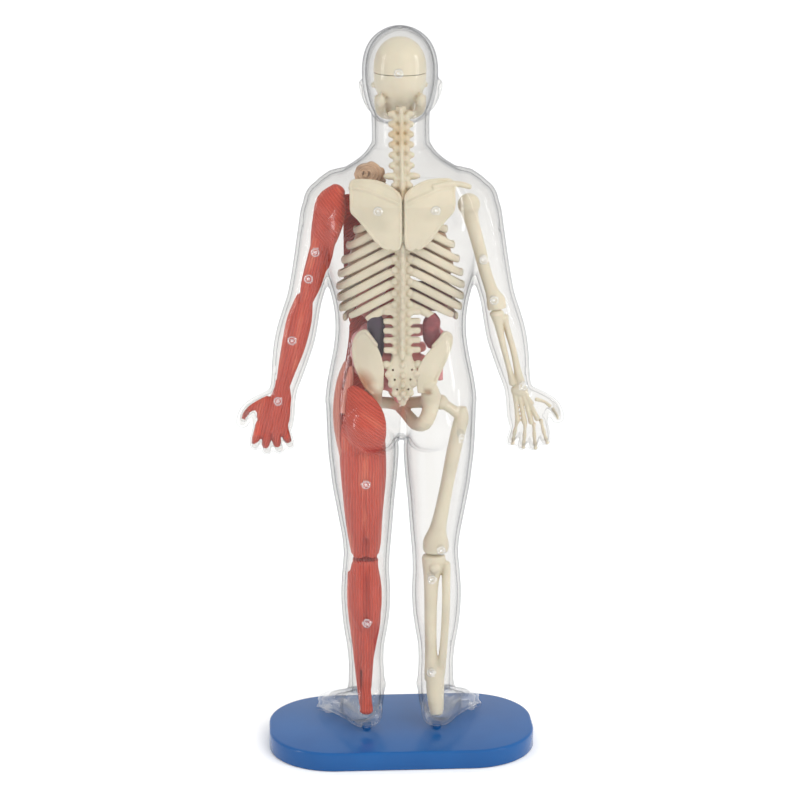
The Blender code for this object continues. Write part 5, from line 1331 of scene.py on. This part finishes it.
def skeleton_and_muscles():
    bone = bone_plastic()
    leg_red = fibre_muscle("leg_fibre", (0, 0, 0))
    arm_red = fibre_muscle("arm_fibre", (0, math.radians(14), 0))
    torso_red = fibre_muscle("torso_fibre", (0, math.radians(60), 0))
    show(stand(), "stand", "base_plate", blue_plastic(), 35)

    def boned(ob, node):
        return piece(ob, node, bone)

    boned(spine_and_ribs(), "spine_rear_ribs")
    cap, base = skull()
    boned(cap, "skull_cap")
    boned(base, "skull_base")
    soft("brain", brain(), "brain_rose", (0.70, 0.42, 0.38), (0.55, 0.28, 0.26))
    boned(scapula(1), "left_scapula")
    boned(scapula(-1), "right_scapula")
    hip = pelvis()
    combine(hip, make("room", lambda bm: ball(bm, FEMUR_HEAD, (3.8, 3.8, 3.8))))
    leg = clear_of(femur(), hip, 0.35)
    room = body_volume("hollow", WALL + 0.55, 0.8, 1)
    thigh = thigh_muscle(room, hip)
    strip = hip_strip(room)
    boned(hip, "pelvis")
    boned(leg, "right_femur")
    boned(front_ribs(), "front_rib_cage")
    boned(humerus(), "right_humerus")
    hand = forearm_and_hand()
    combine(hand, melt(make("fingers", finger_bones), 0.3, 1), "UNION", solver="MANIFOLD")
    boned(hand, "right_forearm_bones")
    boned(shin(), "right_shin_bones")
    piece(thigh, "left_thigh_muscles", leg_red)
    seat_red = fibre_muscle("seat_fibre", (0, math.radians(-52), 0))
    paint(thigh, seat_red, lambda c: c.y > 3.0 and c.z > 131.0 + 0.55 * (c.x - 12.0))
    arm = piece(arm_muscle(room), "left_arm_muscles", arm_red)
    cap_red = fibre_muscle("shoulder_fibre", (0, math.radians(-38), 0))
    paint(arm, cap_red, lambda c: c.z > 217.0 + 1.1 * abs(c.x - 31.0))
    piece(calf_muscle(room), "left_calf_muscles", leg_red)
    piece(torso_muscle(), "left_torso_muscles", torso_red)
    pink = fibre_muscle("hip_fibre", (0, 0, 0), (0.74, 0.30, 0.23), (0.50, 0.10, 0.08), (0.84, 0.52, 0.44))
    combine(strip, grow(copy_of(thigh, "room"), 0.02), solver="MANIFOLD")
    strip.name = "hip_bands"
    strip.data.materials.clear()
    strip.data.materials.append(pink)
    strip.data.shade_smooth()
    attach(strip, BODY_OF["left_thigh_muscles"])
    bpy.data.objects.remove(room)


def organs():
    lung_mat = soft_organ("lung_brown", (0.60, 0.40, 0.26), (0.38, 0.22, 0.13), scale=160)
    piece(lung(1), "left_lung", lung_mat)
    piece(lung(-1), "right_lung", lung_mat)
    soft("heart", heart(), "heart_red", (0.42, 0.03, 0.03), (0.22, 0.01, 0.015))
    soft("liver", liver(), "liver_brown", (0.27, 0.06, 0.05), (0.16, 0.03, 0.03))
    soft("stomach", stomach(), "stomach_rose", (0.70, 0.27, 0.24), (0.50, 0.15, 0.14))
    soft("left_kidney", kidney(1), "kidney_dark", (0.05, 0.02, 0.05), (0.02, 0.008, 0.02))
    soft("right_kidney", kidney(-1), "kidney_wine", (0.30, 0.05, 0.06), (0.16, 0.02, 0.03))
    gut = combine(colon(), make("cut", lambda bm: box(bm, (-60, -60, 140), (-17.5, 60, 176.5))))
    soft("large_intestine", gut, "gut_pink", (0.86, 0.42, 0.43), (0.70, 0.24, 0.26))
    soft("small_intestine", small_gut(), "gut_coral", (0.80, 0.33, 0.30), (0.60, 0.18, 0.17))
    soft("bladder", bladder(), "bladder_amber", (0.78, 0.52, 0.28), (0.60, 0.36, 0.16))


def clear_body():
    front, back, bosses = shells(contents)
    clear = clear_plastic()
    show(front, "front_shell_piece", "front_shell", clear, 50)
    show(back, "back_shell_piece", "back_shell", clear, 50)

    def near_boss(low, high, deep, top):
        """A test for faces low to high from a post's axis, and deep to top from the skin there."""
        return lambda c: any(abs(c.x - x) < high and low <= math.hypot(c.x - x, c.z - z) < high
                             and deep < c.y - y < top for x, y, z in bosses)
    # copies of the clear plastic with less or more of its grey, which is partly painted shade: lighter on the
    # feet and posts, a dark grey, glossy ring round each boss, and a glossier dot at its middle
    foot = clear_plastic("foot_clear", 0.25, 0.03, 0.75)
    for half in (front, back):
        paint(half, foot, lambda c: c.z < FOOT_TOP)
    paint(back, clear_plastic("post_clear", 0.25, 0.05), near_boss(0.0, POST_R + 0.22, -30.0, -0.12))
    paint(back, clear_plastic("ring_clear", 2.6, 0.42), near_boss(POST_R - 0.35, POST_R + 0.45, -0.12, 1.0))
    paint(back, clear_plastic("dot_clear", 0.2, 0.55), near_boss(0.0, 0.85, -0.7, 1.0))


contents = []
skeleton_and_muscles()
organs()
clear_body()
stage()
camera()
scene = bpy.context.scene
scene.view_settings.view_transform = "Standard"
